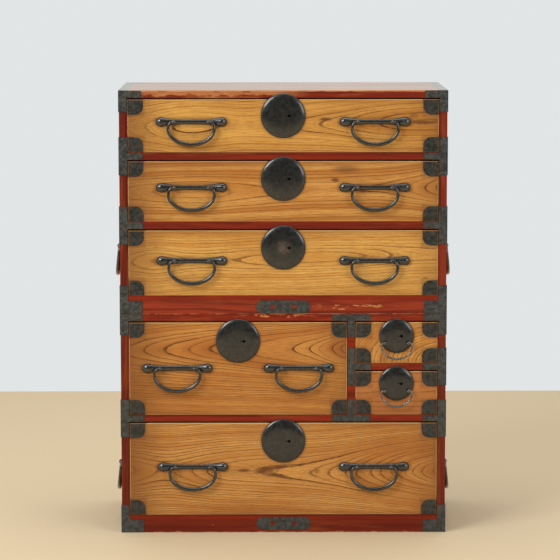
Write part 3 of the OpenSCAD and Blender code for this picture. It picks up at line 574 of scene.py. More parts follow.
class WornArris(Effect):
    """Where an edge along X has lost its finish.

    The mask falls with the distance from the edge, and noise breaks it up.
    """

    name = "worn_arris"
    inputs = ("height", "front", "reach", "left", "right", "break_up", "spread")
    outputs = ("worn",)

    @classmethod
    def build(cls, seeded: Value, given: SimpleNamespace) -> dict[str, Value]:
        """Wires the distance from the edge, the noise and soft ends."""
        x, y, z = given.vector.parts()
        rough = seeded.noise((38.0, 160.0, 160.0), 5.0, 0.62) - given.spread
        away = (abs(z - given.height) + (y - given.front).math("MAXIMUM", 0.0)) / given.reach
        worn = (away + rough * given.break_up).between(1.0, 0.7)
        soft = 0.04
        left = x.between(given.left - soft, given.left + soft)
        right = x.between(given.right + soft, given.right - soft)
        return {"worn": worn * left * right}


class ForgedSurface(Effect):
    """Mottled, slightly pitted surface of blackened iron."""

    name = "forged_surface"
    outputs = ("mottle", "stain", "height")

    @classmethod
    def build(cls, seeded: Value, given: SimpleNamespace) -> dict[str, Value]:
        """Wires broad mottling, small stains, pits and dents."""
        pits = seeded.noise(420.0, 3.0, 0.6).between(0.28, 0.52)
        return {"mottle": seeded.noise(150.0, 5.0, 0.62),
                "stain": seeded.noise(60.0, 5.0, 0.65).between(0.54, 0.70),
                "height": pits * 0.4 + seeded.noise(90.0, 1.0) * 0.8}


# ---------- finishes ----------


@dataclass(frozen=True)
class Relief:
    """Bumps of a surface: their height from 0 to 1, their depth in metres and their strength."""

    height: Value
    distance: float
    strength: float


@dataclass(frozen=True)
class Finish:
    """What every finish has: a name and a way to make its material."""

    name: str

    def wire(self, place: Value) -> tuple[dict[str, Given], Relief]:
        """Works out what the shader takes.

        Args:
            place: The Object coordinates.

        Returns:
            The shader's inputs by name, and the surface's bumps.
        """
        raise NotImplementedError

    def material(self) -> bpy.types.Material:
        """Makes the material from what wire works out."""
        material = bpy.data.materials.new(self.name)
        material.use_nodes = True
        tree = material.node_tree
        inputs, relief = self.wire(Value(add_node(tree, "TexCoord").outputs["Object"]))
        bump = add_node(tree, "Bump")
        for label, value in vars(relief).items():
            feed(bump.inputs[label.capitalize()], value)
        shader = tree.nodes["Principled BSDF"]
        for label, value in {**inputs, "Normal": Value(bump.outputs[0])}.items():
            feed(shader.inputs[label], value)
        return material


@dataclass(frozen=True)
class Swell:
    """A place where the trunk's heart comes nearer to the face or goes deeper."""

    place: float
    spread: float
    rise: float


@dataclass(frozen=True)
class Spot:
    """A soft mark on a front: a knot, a stain or scratches, from the front's middle."""

    across: float
    up: float
    half_length: float
    half_height: float
    share: float = 0.6

    def mask(self, x: Value, z: Value, fibre: Value) -> Value:
        """The spot's share, which falls off round it and follows the fibres."""
        away = distance((x - self.across) / self.half_length, (z - self.up) / self.half_height)
        return (away + fibre * 1.2).between(1.6, 0.9, 0.0, self.share)


@dataclass(frozen=True)
class Zelkova(Finish):
    """Oiled zelkova of one drawer front, with its own run of the grain.

    The wood is darker round the disc, the bars and the plates, with iron stain and painted shade,
    and towards its ends and edges. Its arris is rubbed pale and carries a painted highlight.
    """

    centre: tuple[float, float, float]
    half_width: float
    half_height: float
    heart_depth: float
    heart_height: float
    ring_width: float = 0.0030
    taper: float = 0.0
    drift: float = 0.0
    wander: float = 0.004
    first: Swell = Swell(0.0, 0.1, 0.0)
    second: Swell = Swell(0.0, 0.1, 0.0)
    seed: float = 0.0
    pale: Colour = (208, 157, 76)
    warm: Colour = (180, 122, 50)
    line: Colour = (88, 48, 18)
    fine_line: Colour = (146, 88, 36)
    fibre: Colour = (146, 90, 36)
    pore: Colour = (104, 62, 28)
    knot: Colour = (92, 54, 28)
    iron_mark: Colour = (84, 52, 28)
    dark_end: Colour = (112, 66, 28)
    grime: Colour = (120, 72, 34)
    rubbed: Colour = (222, 180, 116)
    line_share: float = 1.0
    fine_share: float = 0.42
    end_share: tuple[float, float] = (0.68, 0.34)
    end_reach: tuple[float, float] = (0.09, 0.07)
    discs: tuple[tuple[float, float, float], ...] = ()
    bars: tuple[tuple[float, float], ...] = ()
    bar_half_length: float = 0.062
    bar_half_height: float = 0.007
    plate_size: float = 0.029
    iron_reach: float = 0.006
    spots: tuple[Spot, ...] = ()

    def wire(self, place: Value) -> tuple[dict[str, Given], Relief]:
        """Lays fibres, lines, pores, spots, iron stain with painted shade, ends, grime and the arris."""
        local = place.shifted(tuple(-value for value in self.centre))
        swells = {f"{word}_{key}": value for word, swell in (("first", self.first), ("second", self.second))
                  for key, value in vars(swell).items()}
        own = {key: value for key, value in vars(self).items() if key in (*FlatSawnGrain.inputs, "seed")}
        grain = FlatSawnGrain.place(local, **own, **swells)
        x, _, z = local.parts()
        near_iron = self.iron_stain(x, z)
        left, right = self.half_width - self.end_reach[0], self.half_width - self.end_reach[1]
        edge = (self.half_width - abs(x)).math("MINIMUM", self.half_height - abs(z))
        mellow = (grain.tone * 0.55 + grain.band * 0.45).between(0.38, 0.62)
        base = coated(mellow.mix(self.pale, self.warm), [
            (grain.fibre.between(0.40, 0.72, 0.0, 0.55), self.fibre),
            (grain.fine * self.fine_share, self.fine_line),
            (grain.line * self.line_share, self.line),
            (grain.pores * 0.4, self.pore),
            *((spot.mask(x, z, grain.fibre), self.knot) for spot in self.spots),
            # painted shade round the disc, the bars and the plates, mixed with iron stain in the wood
            (near_iron * 0.4, self.iron_mark),
            (x.between(-left, -self.half_width, 0.0, self.end_share[0]), self.dark_end),
            (x.between(right, self.half_width, 0.0, self.end_share[1]), self.dark_end),
            (edge.between(0.014, 0.002) * grain.tone.between(0.35, 0.65, 0.12, 0.4), self.grime),
            # pale line along the bevelled edge: rubbed wood and a painted highlight, left off near the
            # irons
            (edge.between(0.0013, 0.0008, 0.0, 0.6) * (1.0 - near_iron), self.rubbed),
        ])
        height = grain.fibre * 0.25 - (grain.line * 0.5 + grain.pores * 0.5)
        return {"Base Color": base, "Roughness": grain.fibre.between(0.3, 0.8, 0.44, 0.6),
                "Specular IOR Level": 0.2}, Relief(height, 0.0005, 0.5)

    def iron_stain(self, x: Value, z: Value) -> Value:
        """Mask of iron stain and painted shade, falling from 1 to 0 round the disc, the bars and the
        plates.

        Args:
            x: Place across the front, from its middle.
            z: Height from its middle.

        Returns:
            The mask.
        """
        gaps = [distance(x - across, z - up) - radius for across, up, radius in self.discs]
        for across, up in self.bars:
            beyond = (abs(x - across) - self.bar_half_length).math("MAXIMUM", 0.0)
            gaps.append(distance(beyond, z - up) - self.bar_half_height)
        gaps.append(distance(((self.half_width - self.plate_size) - abs(x)).math("MAXIMUM", 0.0),
                             ((self.half_height - self.plate_size) - abs(z)).math("MAXIMUM", 0.0)))
        nearest = reduce(lambda first, second: first.math("MINIMUM", second), gaps)
        return nearest.between(self.iron_reach, -self.iron_reach / 3)


@dataclass(frozen=True)
class Arris:
    """An edge along X that has worn, at a height between two places."""

    height: float
    left: float
    right: float
    reach: float
    break_up: float = 3.0
    share: float = 1.0
    spread: float = 0.5

    def mask(self, place: Value, front: float, seed: float) -> Value:
        """Share of bare wood at a place, on a board whose front face is at front."""
        own = {key: value for key, value in vars(self).items() if key in WornArris.inputs}
        return WornArris.place(place, front=front, seed=seed, **own).worn * self.share


@dataclass(frozen=True)
class Band:
    """A range of heights where the lacquer has another colour or takes painted shade."""

    low: float
    high: float
    colour: Colour
    share: float = 1.0

    def mask(self, z: Value) -> Value:
        """The band's share at a height."""
        return (z.between(self.low - MM, self.low + MM) * z.between(self.high + MM, self.high - MM)
                * self.share)


@dataclass(frozen=True)
class RedLacquer(Finish):
    """Old red lacquer over wood: rubbed to orange-brown, chipped, with worn edges."""

    front: float
    upright: bool = False
    arrises: tuple[Arris, ...] = ()
    bands: tuple[Band, ...] = ()
    polished_above: float = NEVER
    seed: float = 0.0
    red: Colour = (130, 37, 13)
    deep: Colour = (84, 20, 8)
    rubbed: Colour = (166, 82, 38)
    chip: Colour = (196, 112, 76)
    pale_wood: Colour = (206, 146, 88)
    dark_wood: Colour = (168, 104, 58)
    rubbed_share: float = 0.35

    def wire(self, place: Value) -> tuple[dict[str, Given], Relief]:
        """Lays bands and painted shade, streaks, rubbed patches, chips and bare edges over the lacquer."""
        x, y, z = place.parts()
        along = vector(z, y, x) if self.upright else place
        grain = StraightGrain.place(along, seed=self.seed)
        patches = along.noise((7.0, 24.0, 60.0), 4.0, 0.62).between(0.5, 0.68)
        chips = place.noise((70.0, 90.0, 110.0), 4.0, 0.7).between(0.69, 0.74, 0.0, 0.7)
        bare = grain.fibre.between(0.3, 0.7).mix(self.pale_wood, self.dark_wood)
        base = coated(grain.tone.between(0.3, 0.7, 0.0, 0.45).mix(self.red, self.deep), [
            *((band.mask(z), band.colour) for band in self.bands),
            (grain.streak.between(0.4, 0.66, 0.0, 0.8), self.deep),
            (patches * grain.fibre.between(0.35, 0.62, 0.3, 1.0) * self.rubbed_share, self.rubbed),
            (chips, self.chip),
            *((arris.mask(place, self.front, self.seed + number), bare)
              for number, arris in enumerate(self.arrises)),
        ])
        polish = z.between(self.polished_above, self.polished_above + MM)
        roughness = grain.streak.between(0.3, 0.8, 0.38, 0.54) * (1.0 - polish * 0.6)
        return {"Base Color": base, "Roughness": roughness, "Specular IOR Level": 0.16,
                "Coat Weight": polish, "Coat Roughness": 0.2,
                }, Relief(grain.streak * 0.7 + grain.fibre * 0.3, 0.0004, 0.35)


@dataclass(frozen=True)
class PlainWood(Finish):
    """Bare planed softwood, as in drawer boxes and back planks.

    Its grain runs along X, or along Y in boards further than side_from from the middle.
    """

    pale: Colour
    dark: Colour
    middle: float = 0.0
    side_from: float = NEVER
    seed: float = 0.0

    def wire(self, place: Value) -> tuple[dict[str, Given], Relief]:
        """Lays streaks and a broad tone over the wood."""
        x, y, z = place.parts()
        is_side = abs(x - self.middle).math("GREATER_THAN", self.side_from)
        along = vector(is_side.between(0.0, 1.0, x, y), is_side.between(0.0, 1.0, y, x), z)
        grain = StraightGrain.place(along, seed=self.seed)
        base = coated(grain.streak.between(0.35, 0.72).mix(self.pale, self.dark),
                      [(grain.tone.between(0.35, 0.75, 0.0, 0.45), self.dark)])
        return {"Base Color": base, "Roughness": grain.fibre.between(0.3, 0.7, 0.62, 0.8),
                }, Relief(grain.streak + grain.fibre, 0.0003, 0.5)


@dataclass(frozen=True)
class BlackIron(Finish):
    """Forged iron blackened with lacquer, satin, with faint brown stains."""

    dark: Colour = (60, 62, 62)
    grey: Colour = (86, 89, 88)
    brown: Colour = (104, 84, 68)
    worn: Colour = (124, 108, 96)
    stain_share: float = 0.35
    gloss: tuple[float, float] = (0.30, 0.44)
    relief: float = 0.3
    coat: float = 0.0
    polished_above: float = NEVER
    worn_middle: tuple[float, float, float] | None = None

    def wire(self, place: Value) -> tuple[dict[str, Given], Relief]:
        """Lays stains and a worn middle over the mottled iron."""
        iron = ForgedSurface.place(place, seed=0.0)
        base = coated(iron.mottle.between(0.32, 0.68).mix(self.dark, self.grey),
                      [(iron.stain * self.stain_share, self.brown)])
        if self.worn_middle:
            away = add_node(place.tree, "VectorMath", place, self.worn_middle, operation="DISTANCE")
            ragged = Value(away.outputs["Value"]) + iron.mottle * 0.03
            base = ragged.between(0.034, 0.016, 0.0, 0.75).mix(base, self.worn)
        coat = self.coat
        if self.polished_above < NEVER:
            coat = place.parts()[2].between(self.polished_above, self.polished_above + MM)
        roughness = iron.mottle.between(0.3, 0.7, *self.gloss)
        return {"Base Color": base, "Metallic": 0.7, "Roughness": roughness, "Coat Weight": coat,
                "Coat Roughness": 0.13}, Relief(iron.height, 0.0004, self.relief)


class IronKind(Enum):
    """The irons' finishes: straps, straps of the top, corner plates, discs, rods and bars, rings."""

    STRAP = "strap_iron"
    TOP_STRAP = "top_strap_iron"
    PLATE = "plate_iron"
    DISC = "disc_iron"
    BRIGHT_DISC = "worn_disc_iron"
    ROD = "rod_iron"
    RING = "ring_iron"


# ---------- the case ----------


@dataclass
class Nail:
    """A domed nail head."""

    radius: float = 1.3 * MM
    rise: float = 0.5 * MM
    inset: float = 4.5 * MM

    def head(self, place: np.ndarray, axis: str, sign: float) -> Shell:
        """Dome whose height is rise * cos(a) at radius * sin(a), standing out along an axis.

        Args:
            place: Middle of its foot.
            axis: "x" or "y".
            sign: 1 towards +X or -Y, as a lathe counts, or -1 the other way.

        Returns:
            A closed shell of about 30 faces.
        """
        turn = np.linspace(math.pi / 2, 0.15, 3)
        rings = np.column_stack([self.radius * np.sin(turn), sign * self.rise * np.cos(turn)])
        return lathe(rings, axis, 10).moved(tuple(place))

    def across_strap(self, strap: Shell, facing: float) -> list[Shell]:
        """Nails near the four ends of a flat strap.

        Args:
            strap: The strap's solid.
            facing: -1 for a strap on the front and 1 for one at the back.

        Returns:
            The nail heads.
        """
        face = (strap.points[:, 1] * facing).max()
        flat = strap.points[np.abs(strap.points[:, 1] * facing - face) < IN_PLANE]
        heads = []
        for column in (0, 2):
            for end in (-1, 1):
                limit = (flat[:, column] * end).max()
                place = flat[np.abs(flat[:, column] * end - limit) < IN_PLANE].mean(axis=0)
                place[column] -= end * self.inset
                heads.append(self.head(place, "y", -facing))
        return heads

    def down_return(self, strap: Shell, facing: float) -> list[Shell]:
        """Two nails on a strap's return round the side.

        Args:
            strap: The strap's solid.
            facing: -1 for a strap on the front and 1 for one at the back.

        Returns:
            The nail heads.
        """
        low, high = strap.points.min(axis=0), strap.points.max(axis=0)
        side = math.copysign(1, low[0] + high[0])
        x = high[0] if side > 0 else low[0]
        y = high[1] - 2 * self.inset if facing < 0 else low[1] + 2 * self.inset
        return [self.head(np.array([x, y, z]), "x", side)
                for z in (low[2] + self.inset, high[2] - self.inset)]


@dataclass
class Section:
    """One of the two stacked cases."""

    word: str
    body: str

    def node(self, piece: str) -> str:
        """Name of one of the section's nodes."""
        return f"{self.word}_{piece}"

    def dress(self, finishes: dict[str, bpy.types.Material], irons: bpy.types.Material,
              nail_finish: bpy.types.Material) -> None:
        """Gives each of the section's nodes its material and nails the straps on.

        Args:
            finishes: Materials by the pieces' names.
            irons: The straps' material.
            nail_finish: The nails' material.
        """
        for piece, finish in finishes.items():
            paint(self.node(piece), finish)
        paint(self.node("irons"), irons)
        make_piece(self.node("nails"), self.nails(), self.body, nail_finish)

    def nails(self) -> Shell:
        """Nail heads on the straps of the front, the back and the sides."""
        board_low, board_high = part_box(self.node("side_right"))
        nail, heads = Nail(), []
        for strap in island_shells(self.node("irons")):
            front = strap.points[:, 1].min() < board_low.y - MM
            back = strap.points[:, 1].max() > board_high.y + MM
            if not (front or back):
                continue
            facing = -1.0 if front else 1.0
            heads += nail.across_strap(strap, facing)
            if np.abs(strap.points[:, 0]).max() > board_high.x + MM:
                heads += nail.down_return(strap, facing)
        return Shell.joined(heads)


def paint(node: str, finish: bpy.types.Material) -> None:
    """Puts a material on a CAD node."""
    slots = frame["nodes"][node].data.materials
    slots.clear()
    slots.append(finish)
    log.info("%s: dressed with %s", node, finish.name)


# ---------- ironwork of the drawers ----------

# The drawers' numbers count from the top down. The disc of one is rubbed bright
SMALL_DRAWERS = (5, 6)
RUBBED_DRAWER = 3


@dataclass
class Drawer:
    """Ironwork of one drawer, placed from its node boxes and its handles' pivots."""

    number: int
    disc_radius: float = 41.25 * MM
    disc_rise: float = 6 * MM
    keyhole_x: float = 11 * MM
    keyhole_radius: float = 2.6 * MM
    slit_length: float = 6 * MM
    slit_width: float = 1.6 * MM
    plate_width: float = 27.5 * MM
    plate_height: float = 27 * MM
    plate_corner: float = 15 * MM
    plate_inset: float = 1 * MM
    plate_thickness: float = 0.9 * MM
    bar_half_length: float = 66 * MM
    bar_waist: float = 4.6 * MM
    bar_end_height: float = 9.2 * MM
    bar_round: float = 10.5 * MM
    bar_sink: float = 3 * MM
    flare_power: float = 1.8
    neck_x: float = 14 * MM
    post_x: float = 32 * MM
    post_radius: float = 2.2 * MM
    eye_radius: float = 4.4 * MM
    bore_radius: float = 2.0 * MM
    rivet_swell: float = 1.7
    rivet_height: float = 0.8 * MM
    lock_depth: float = 10 * MM
    soft_edge: float = 0.35 * MM

    def __post_init__(self) -> None:
        """Reads the drawer's places from the frame."""
        self.low, self.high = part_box(f"drawer_{self.number}_front")
        _, iron_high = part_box(f"drawer_{self.number}_ironwork")
        self.face = self.low.y
        self.middle = (self.low.x + self.high.x) / 2
        self.disc_centre = Vector((self.middle, self.face, iron_high.z - self.disc_radius))
        self.body = f"drawer_{self.number}"
        self.pivots = [Vector(joint["pos_m"]) for joint in frame["joints"]
                       if joint["parent"] == self.body and joint["type"] == "hinge"]
        self.has_ring = len(self.pivots) == 1

    def disc(self) -> Shell:
        """Dome whose height is rise * (1 - s^3.2)^0.45, s being the share of the radius."""
        turn = np.linspace(0, math.pi / 2, 28)
        share = np.sin(turn) ** 0.8
        rise = self.disc_rise * np.maximum(0, 1 - share**3.2) ** 0.45
        profile = np.column_stack([self.disc_radius * share, rise])
        return lathe(np.vstack([profile, [[0.0, 0.0]]])[::-1], "y", 96).moved(tuple(self.disc_centre))

    def keyhole(self) -> Shell:
        """Round hole and slit, as a cutter for the disc."""
        reach = self.disc_rise * 2
        turn = np.linspace(0, 2 * math.pi, 24, endpoint=False)
        slit = math.asin(self.slit_width / 2 / self.keyhole_radius)
        keep = np.abs(turn - math.pi) > slit
        arc = np.column_stack([np.cos(turn[keep]), np.sin(turn[keep])]) * self.keyhole_radius
        first = int(np.searchsorted(turn[keep], math.pi))
        half = self.slit_width / 2
        root = -math.cos(slit) * self.keyhole_radius
        corners = np.array([[root, half], [-self.slit_length, half],
                            [-self.slit_length, -half], [root, -half]])
        outline = np.vstack([arc[:first], corners, arc[first:]]) + [self.keyhole_x, 0]
        rings = np.stack([np.column_stack([outline[:, 0], np.full(len(outline), y), outline[:, 1]])
                          for y in (-reach, reach)])
        return tube(rings).moved(tuple(self.disc_centre))

    def plate(self, right: bool, top: bool) -> Shell:
        """Nailed corner plate with a softened edge.

        Its rings are the outline at the back, at the start of the soft edge and, drawn in, at
        the face. The outline is a rectangle with a quarter of a circle at the free corner.
        """
        turn = np.linspace(0, math.pi / 2, 12)
        arc = np.column_stack([np.cos(turn), np.sin(turn)]) * self.plate_corner
        arc += [self.plate_width - self.plate_corner, self.plate_height - self.plate_corner]
        outline = np.vstack([[[0, 0]], [[self.plate_width, 0]], arc, [[0, self.plate_height]]])
        centre = np.array([self.plate_width, self.plate_height]) / 2
        inner = centre + (outline - centre) * (1 - self.soft_edge / centre)
        levels = [(outline, 0.0), (outline, self.plate_thickness - self.soft_edge),
                  (inner, self.plate_thickness)]
        rings = np.stack([np.column_stack([o[:, 0], np.full(len(o), -depth), o[:, 1]])
                          for o, depth in levels])
        nail = Nail()
        near, far = nail.inset, self.plate_width - nail.inset
        heads = [nail.head(np.array([x, -self.plate_thickness, z]), "y", 1.0)
                 for x, z in ((near, near), (near, far), (far, near))]
        sign = np.array([-1.0 if right else 1.0, 1.0, -1.0 if top else 1.0])
        corner = np.array([self.high.x if right else self.low.x, self.face,
                           self.high.z if top else self.low.z])
        corner += sign * np.array([self.plate_inset, 0, self.plate_inset])
        shell = Shell.joined([tube(rings), *heads])
        return Shell(shell.points * sign + corner, shell.faces)

    def bar(self, pivot: Vector) -> Shell:
        """Bar with a flat back, round in section about an axis behind it.

        Half its height h is the waist's in the middle, swells as the share of the way to the
        power 1.8, and ends in a quarter of an ellipse. A section is the arc
        y = sink - r * cos(a), z = r * sin(a), where r is the root of h^2 + sink^2.
        """
        round_x = self.bar_half_length - self.bar_round
        waist_x = np.linspace(0, self.neck_x, 8, endpoint=False)
        flare_x = np.linspace(self.neck_x, round_x, 22, endpoint=False)
        swollen = ((flare_x - self.neck_x) / (round_x - self.neck_x)) ** self.flare_power
        turn = np.linspace(0, math.pi / 2 - 0.05, 14)
        half_x = np.concatenate([waist_x, flare_x, round_x + self.bar_round * np.sin(turn)])
        half_h = np.concatenate([np.full(len(waist_x), self.bar_waist),
                                 self.bar_waist + (self.bar_end_height - self.bar_waist) * swollen,
                                 self.bar_end_height * np.cos(turn)])
        x = np.concatenate([-half_x[:0:-1], half_x])
        height = np.concatenate([half_h[:0:-1], half_h])
        radius = np.hypot(height, self.bar_sink)
        angle = np.arctan2(height, self.bar_sink)[:, None] * np.linspace(-1, 1, 24)[None, :]
        rings = np.stack([np.repeat(x[:, None], angle.shape[1], axis=1),
                          self.bar_sink - radius[:, None] * np.cos(angle),
                          radius[:, None] * np.sin(angle)], axis=-1)
        return tube(rings).moved((pivot.x, self.face, pivot.z))

    def eye(self, place: Vector) -> Shell:
        """Post riveted behind the wood, with an eye, a flattened ring round the handle's pin."""
        radius, bore, post = self.eye_radius, self.bore_radius, self.post_radius
        turn = np.linspace(0, 2 * math.pi, 40, endpoint=False)
        tube_turn = np.linspace(0, 2 * math.pi, 14, endpoint=False)
        major, minor = (radius + bore) / 2, (radius - bore) / 2
        ring = major + minor * np.cos(tube_turn)[None, :]
        grid = np.stack([np.repeat((1.15 * post * np.sin(tube_turn))[None, :], len(turn), axis=0),
                         ring * np.cos(turn)[:, None], ring * np.sin(turn)[:, None]], axis=-1)
        index = np.arange(turn.size * tube_turn.size).reshape(turn.size, tube_turn.size)
        eye = Shell(grid.reshape(-1, 3), quads(np.vstack([index, index[:1]])))
        length = self.face - place.y
        back = -length - (self.high.y - self.low.y)
        head = self.rivet_swell * post
        stem = np.array([[0, back - self.rivet_height], [0.8 * head, back - self.rivet_height],
                         [head, back - 0.5 * self.rivet_height], [head, back], [post, back],
                         [post, -0.6 * length], [0.92 * post, -major],
                         [0.7 * post, 0.5 * minor - major], [0, 0.5 * minor - major]])
        return Shell.joined([eye, lathe(stem, "y", 20)]).moved(tuple(place))

    def fitting(self, pivot: Vector) -> Shell:
        """A bar with its two eye posts."""
        posts = [self.eye(pivot + Vector((side * self.post_x, 0, 0))) for side in (-1, 1)]
        return Shell.joined([self.bar(pivot), *posts])

    def build(self, irons: dict[IronKind, bpy.types.Material]) -> None:
        """Builds the disc, plates, bars, eyes and lock case, which replace the CAD ironwork.

        Args:
            irons: The irons' materials.
        """
        node = f"{self.body}_ironwork"
        disc_kind = IronKind.BRIGHT_DISC if self.number == RUBBED_DRAWER else IronKind.DISC
        lock_kind = IronKind.RING if self.has_ring else IronKind.STRAP
        corners = [self.plate(right, top) for right in (False, True) for top in (False, True)]
        behind = [shell for shell in island_shells(node) if self.is_inner(shell)]
        pieces = [("lock_disc", [self.disc()], disc_kind, 50.0),
                  ("corner_plates", corners, IronKind.PLATE, 40.0),
                  ("lock_case", behind, lock_kind, 30.0)]
        if not self.has_ring:
            fittings = [self.fitting(pivot) for pivot in self.pivots]
            pieces.append(("bars_and_eyes", fittings, IronKind.ROD, 40.0))
        for word, shells, kind, smooth_angle in pieces:
            piece = make_piece(f"{self.body}_{word}", Shell.joined(shells), self.body, irons[kind],
                               smooth_angle)
            if word == "lock_disc":
                self.pierce(piece)
            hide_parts(node)

    def is_inner(self, shell: Shell) -> bool:
        """Tells whether a CAD solid is the lock case, which carries a ring pull's posts too."""
        reaches_back = shell.points[:, 1].max() > self.face + self.lock_depth
        return reaches_back and (self.has_ring or shell.points[:, 1].min() > self.face)

    def pierce(self, disc: bpy.types.Object) -> None:
        """Cuts the keyhole through the disc.

        Args:
            disc: The disc, whose mesh is changed.
        """
        mesh = bpy.data.meshes.new("keyhole")
        shell = self.keyhole()
        mesh.from_pydata(shell.points.tolist(), [], shell.faces)
        cutter = add_object("keyhole", mesh)
        cut = disc.modifiers.new("keyhole", "BOOLEAN")
        cut.operation = "DIFFERENCE"
        cut.solver = "EXACT"
        cut.object = cutter
        bpy.context.view_layer.update()
        evaluated = disc.evaluated_get(bpy.context.evaluated_depsgraph_get())
        pierced = bpy.data.meshes.new_from_object(evaluated)
        disc.modifiers.clear()
        disc.data = pierced
        bpy.data.objects.remove(cutter)


@dataclass
class Loop:
    """A forged handle that hangs from two eyes: a rod bent round two inward pins."""

    node: str
    post_gap: float
    eye_half: float
    bend_gap: float
    swell: float
    shoulder: float
    drop: float
    middle_radius: float
    end_radius: float
    pin_radius: float
    bow: float = 0.0
    clear: float = 0.4 * MM
    pin_stub: float = 1.0 * MM
    slender_power: float = 1.2
    bow_power: float = 1.5
    bend_share: float = 4 / 22
    soft_edge: float = 0.3 * MM

    def line(self) -> tuple[np.ndarray, np.ndarray, np.ndarray]:
        """Middle line and radii of the rod.

        It runs straight from its shoulder to the bend, then with the angle a from -90 to 0
        degrees along x = bend + swell * cos(a), z = -shoulder * (1 + sin(a)), and from 0 to 180
        along x = (bend + swell) * cos(a), z = -shoulder - (drop - shoulder) * sin(a), and back
        up in the same way. The radius grows from the ends to the middle with the sine of the
        share of the way, to a power a little over 1.

        Returns:
            Places across, heights and radii.
        """
        start = self.post_gap + self.eye_half + self.clear
        bend = self.post_gap + self.eye_half + self.bend_gap
        angle = np.concatenate([np.linspace(-90, 0, 14, endpoint=False),
                                np.linspace(0, 180, 72, endpoint=False), np.linspace(180, 270, 15)])
        turn = np.radians(angle)
        on_bend = (angle < 0) | (angle > 180)
        across = np.where(on_bend, np.sign(90 - angle) * bend + self.swell * np.cos(turn),
                          (bend + self.swell) * np.cos(turn))
        down = np.where(on_bend, -self.shoulder * (1 + np.sin(turn)),
                        -self.shoulder - (self.drop - self.shoulder) * np.sin(turn))
        way = np.interp(angle, [-90, 0, 180, 270], [0, self.bend_share, 1 - self.bend_share, 1])
        radii = (self.end_radius + (self.middle_radius - self.end_radius)
                 * np.maximum(np.sin(math.pi * way), 0) ** self.slender_power)
        return (np.concatenate([[start], across, [-start]]), np.concatenate([[0], down, [0]]),
                np.concatenate([[self.end_radius], radii, [self.end_radius]]))

    def build(self, finish: bpy.types.Material) -> None:
        """Builds the rod and its two pins round the pivot.

        Args:
            finish: Its material.
        """
        joint = next(j for j in frame["joints"] if j["child"] == self.node)
        pivot = np.array(joint["pos_m"])
        sideways = abs(joint["axis"][1]) > 0.5
        side = np.array([0.0, 1.0, 0.0] if sideways else [1.0, 0.0, 0.0])
        out = np.array([math.copysign(1, pivot[0]), 0.0, 0.0] if sideways else [0.0, -1.0, 0.0])
        across, down, radii = self.line()
        away = self.bow * np.clip(-down / self.drop, 0, 1) ** self.bow_power
        points = pivot + across[:, None] * side + away[:, None] * out
        points[:, 2] += down
        shells = [swept_rod(points, radii, out)]
        inner = self.post_gap - self.eye_half - self.pin_stub
        outer = self.post_gap + self.eye_half + (self.clear + self.bend_gap) / 2
        for end in (-1, 1):
            places = np.array([inner, inner + self.soft_edge, outer]) * end
            pin_radii = np.array([self.pin_radius - self.soft_edge, self.pin_radius, self.pin_radius])
            shells.append(swept_rod(pivot + places[:, None] * side, pin_radii, out))
        piece = make_piece(f"{self.node}_rod", Shell.joined(shells), self.node, finish, 50.0)
        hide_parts(self.node)


# ---------- the studio ----------


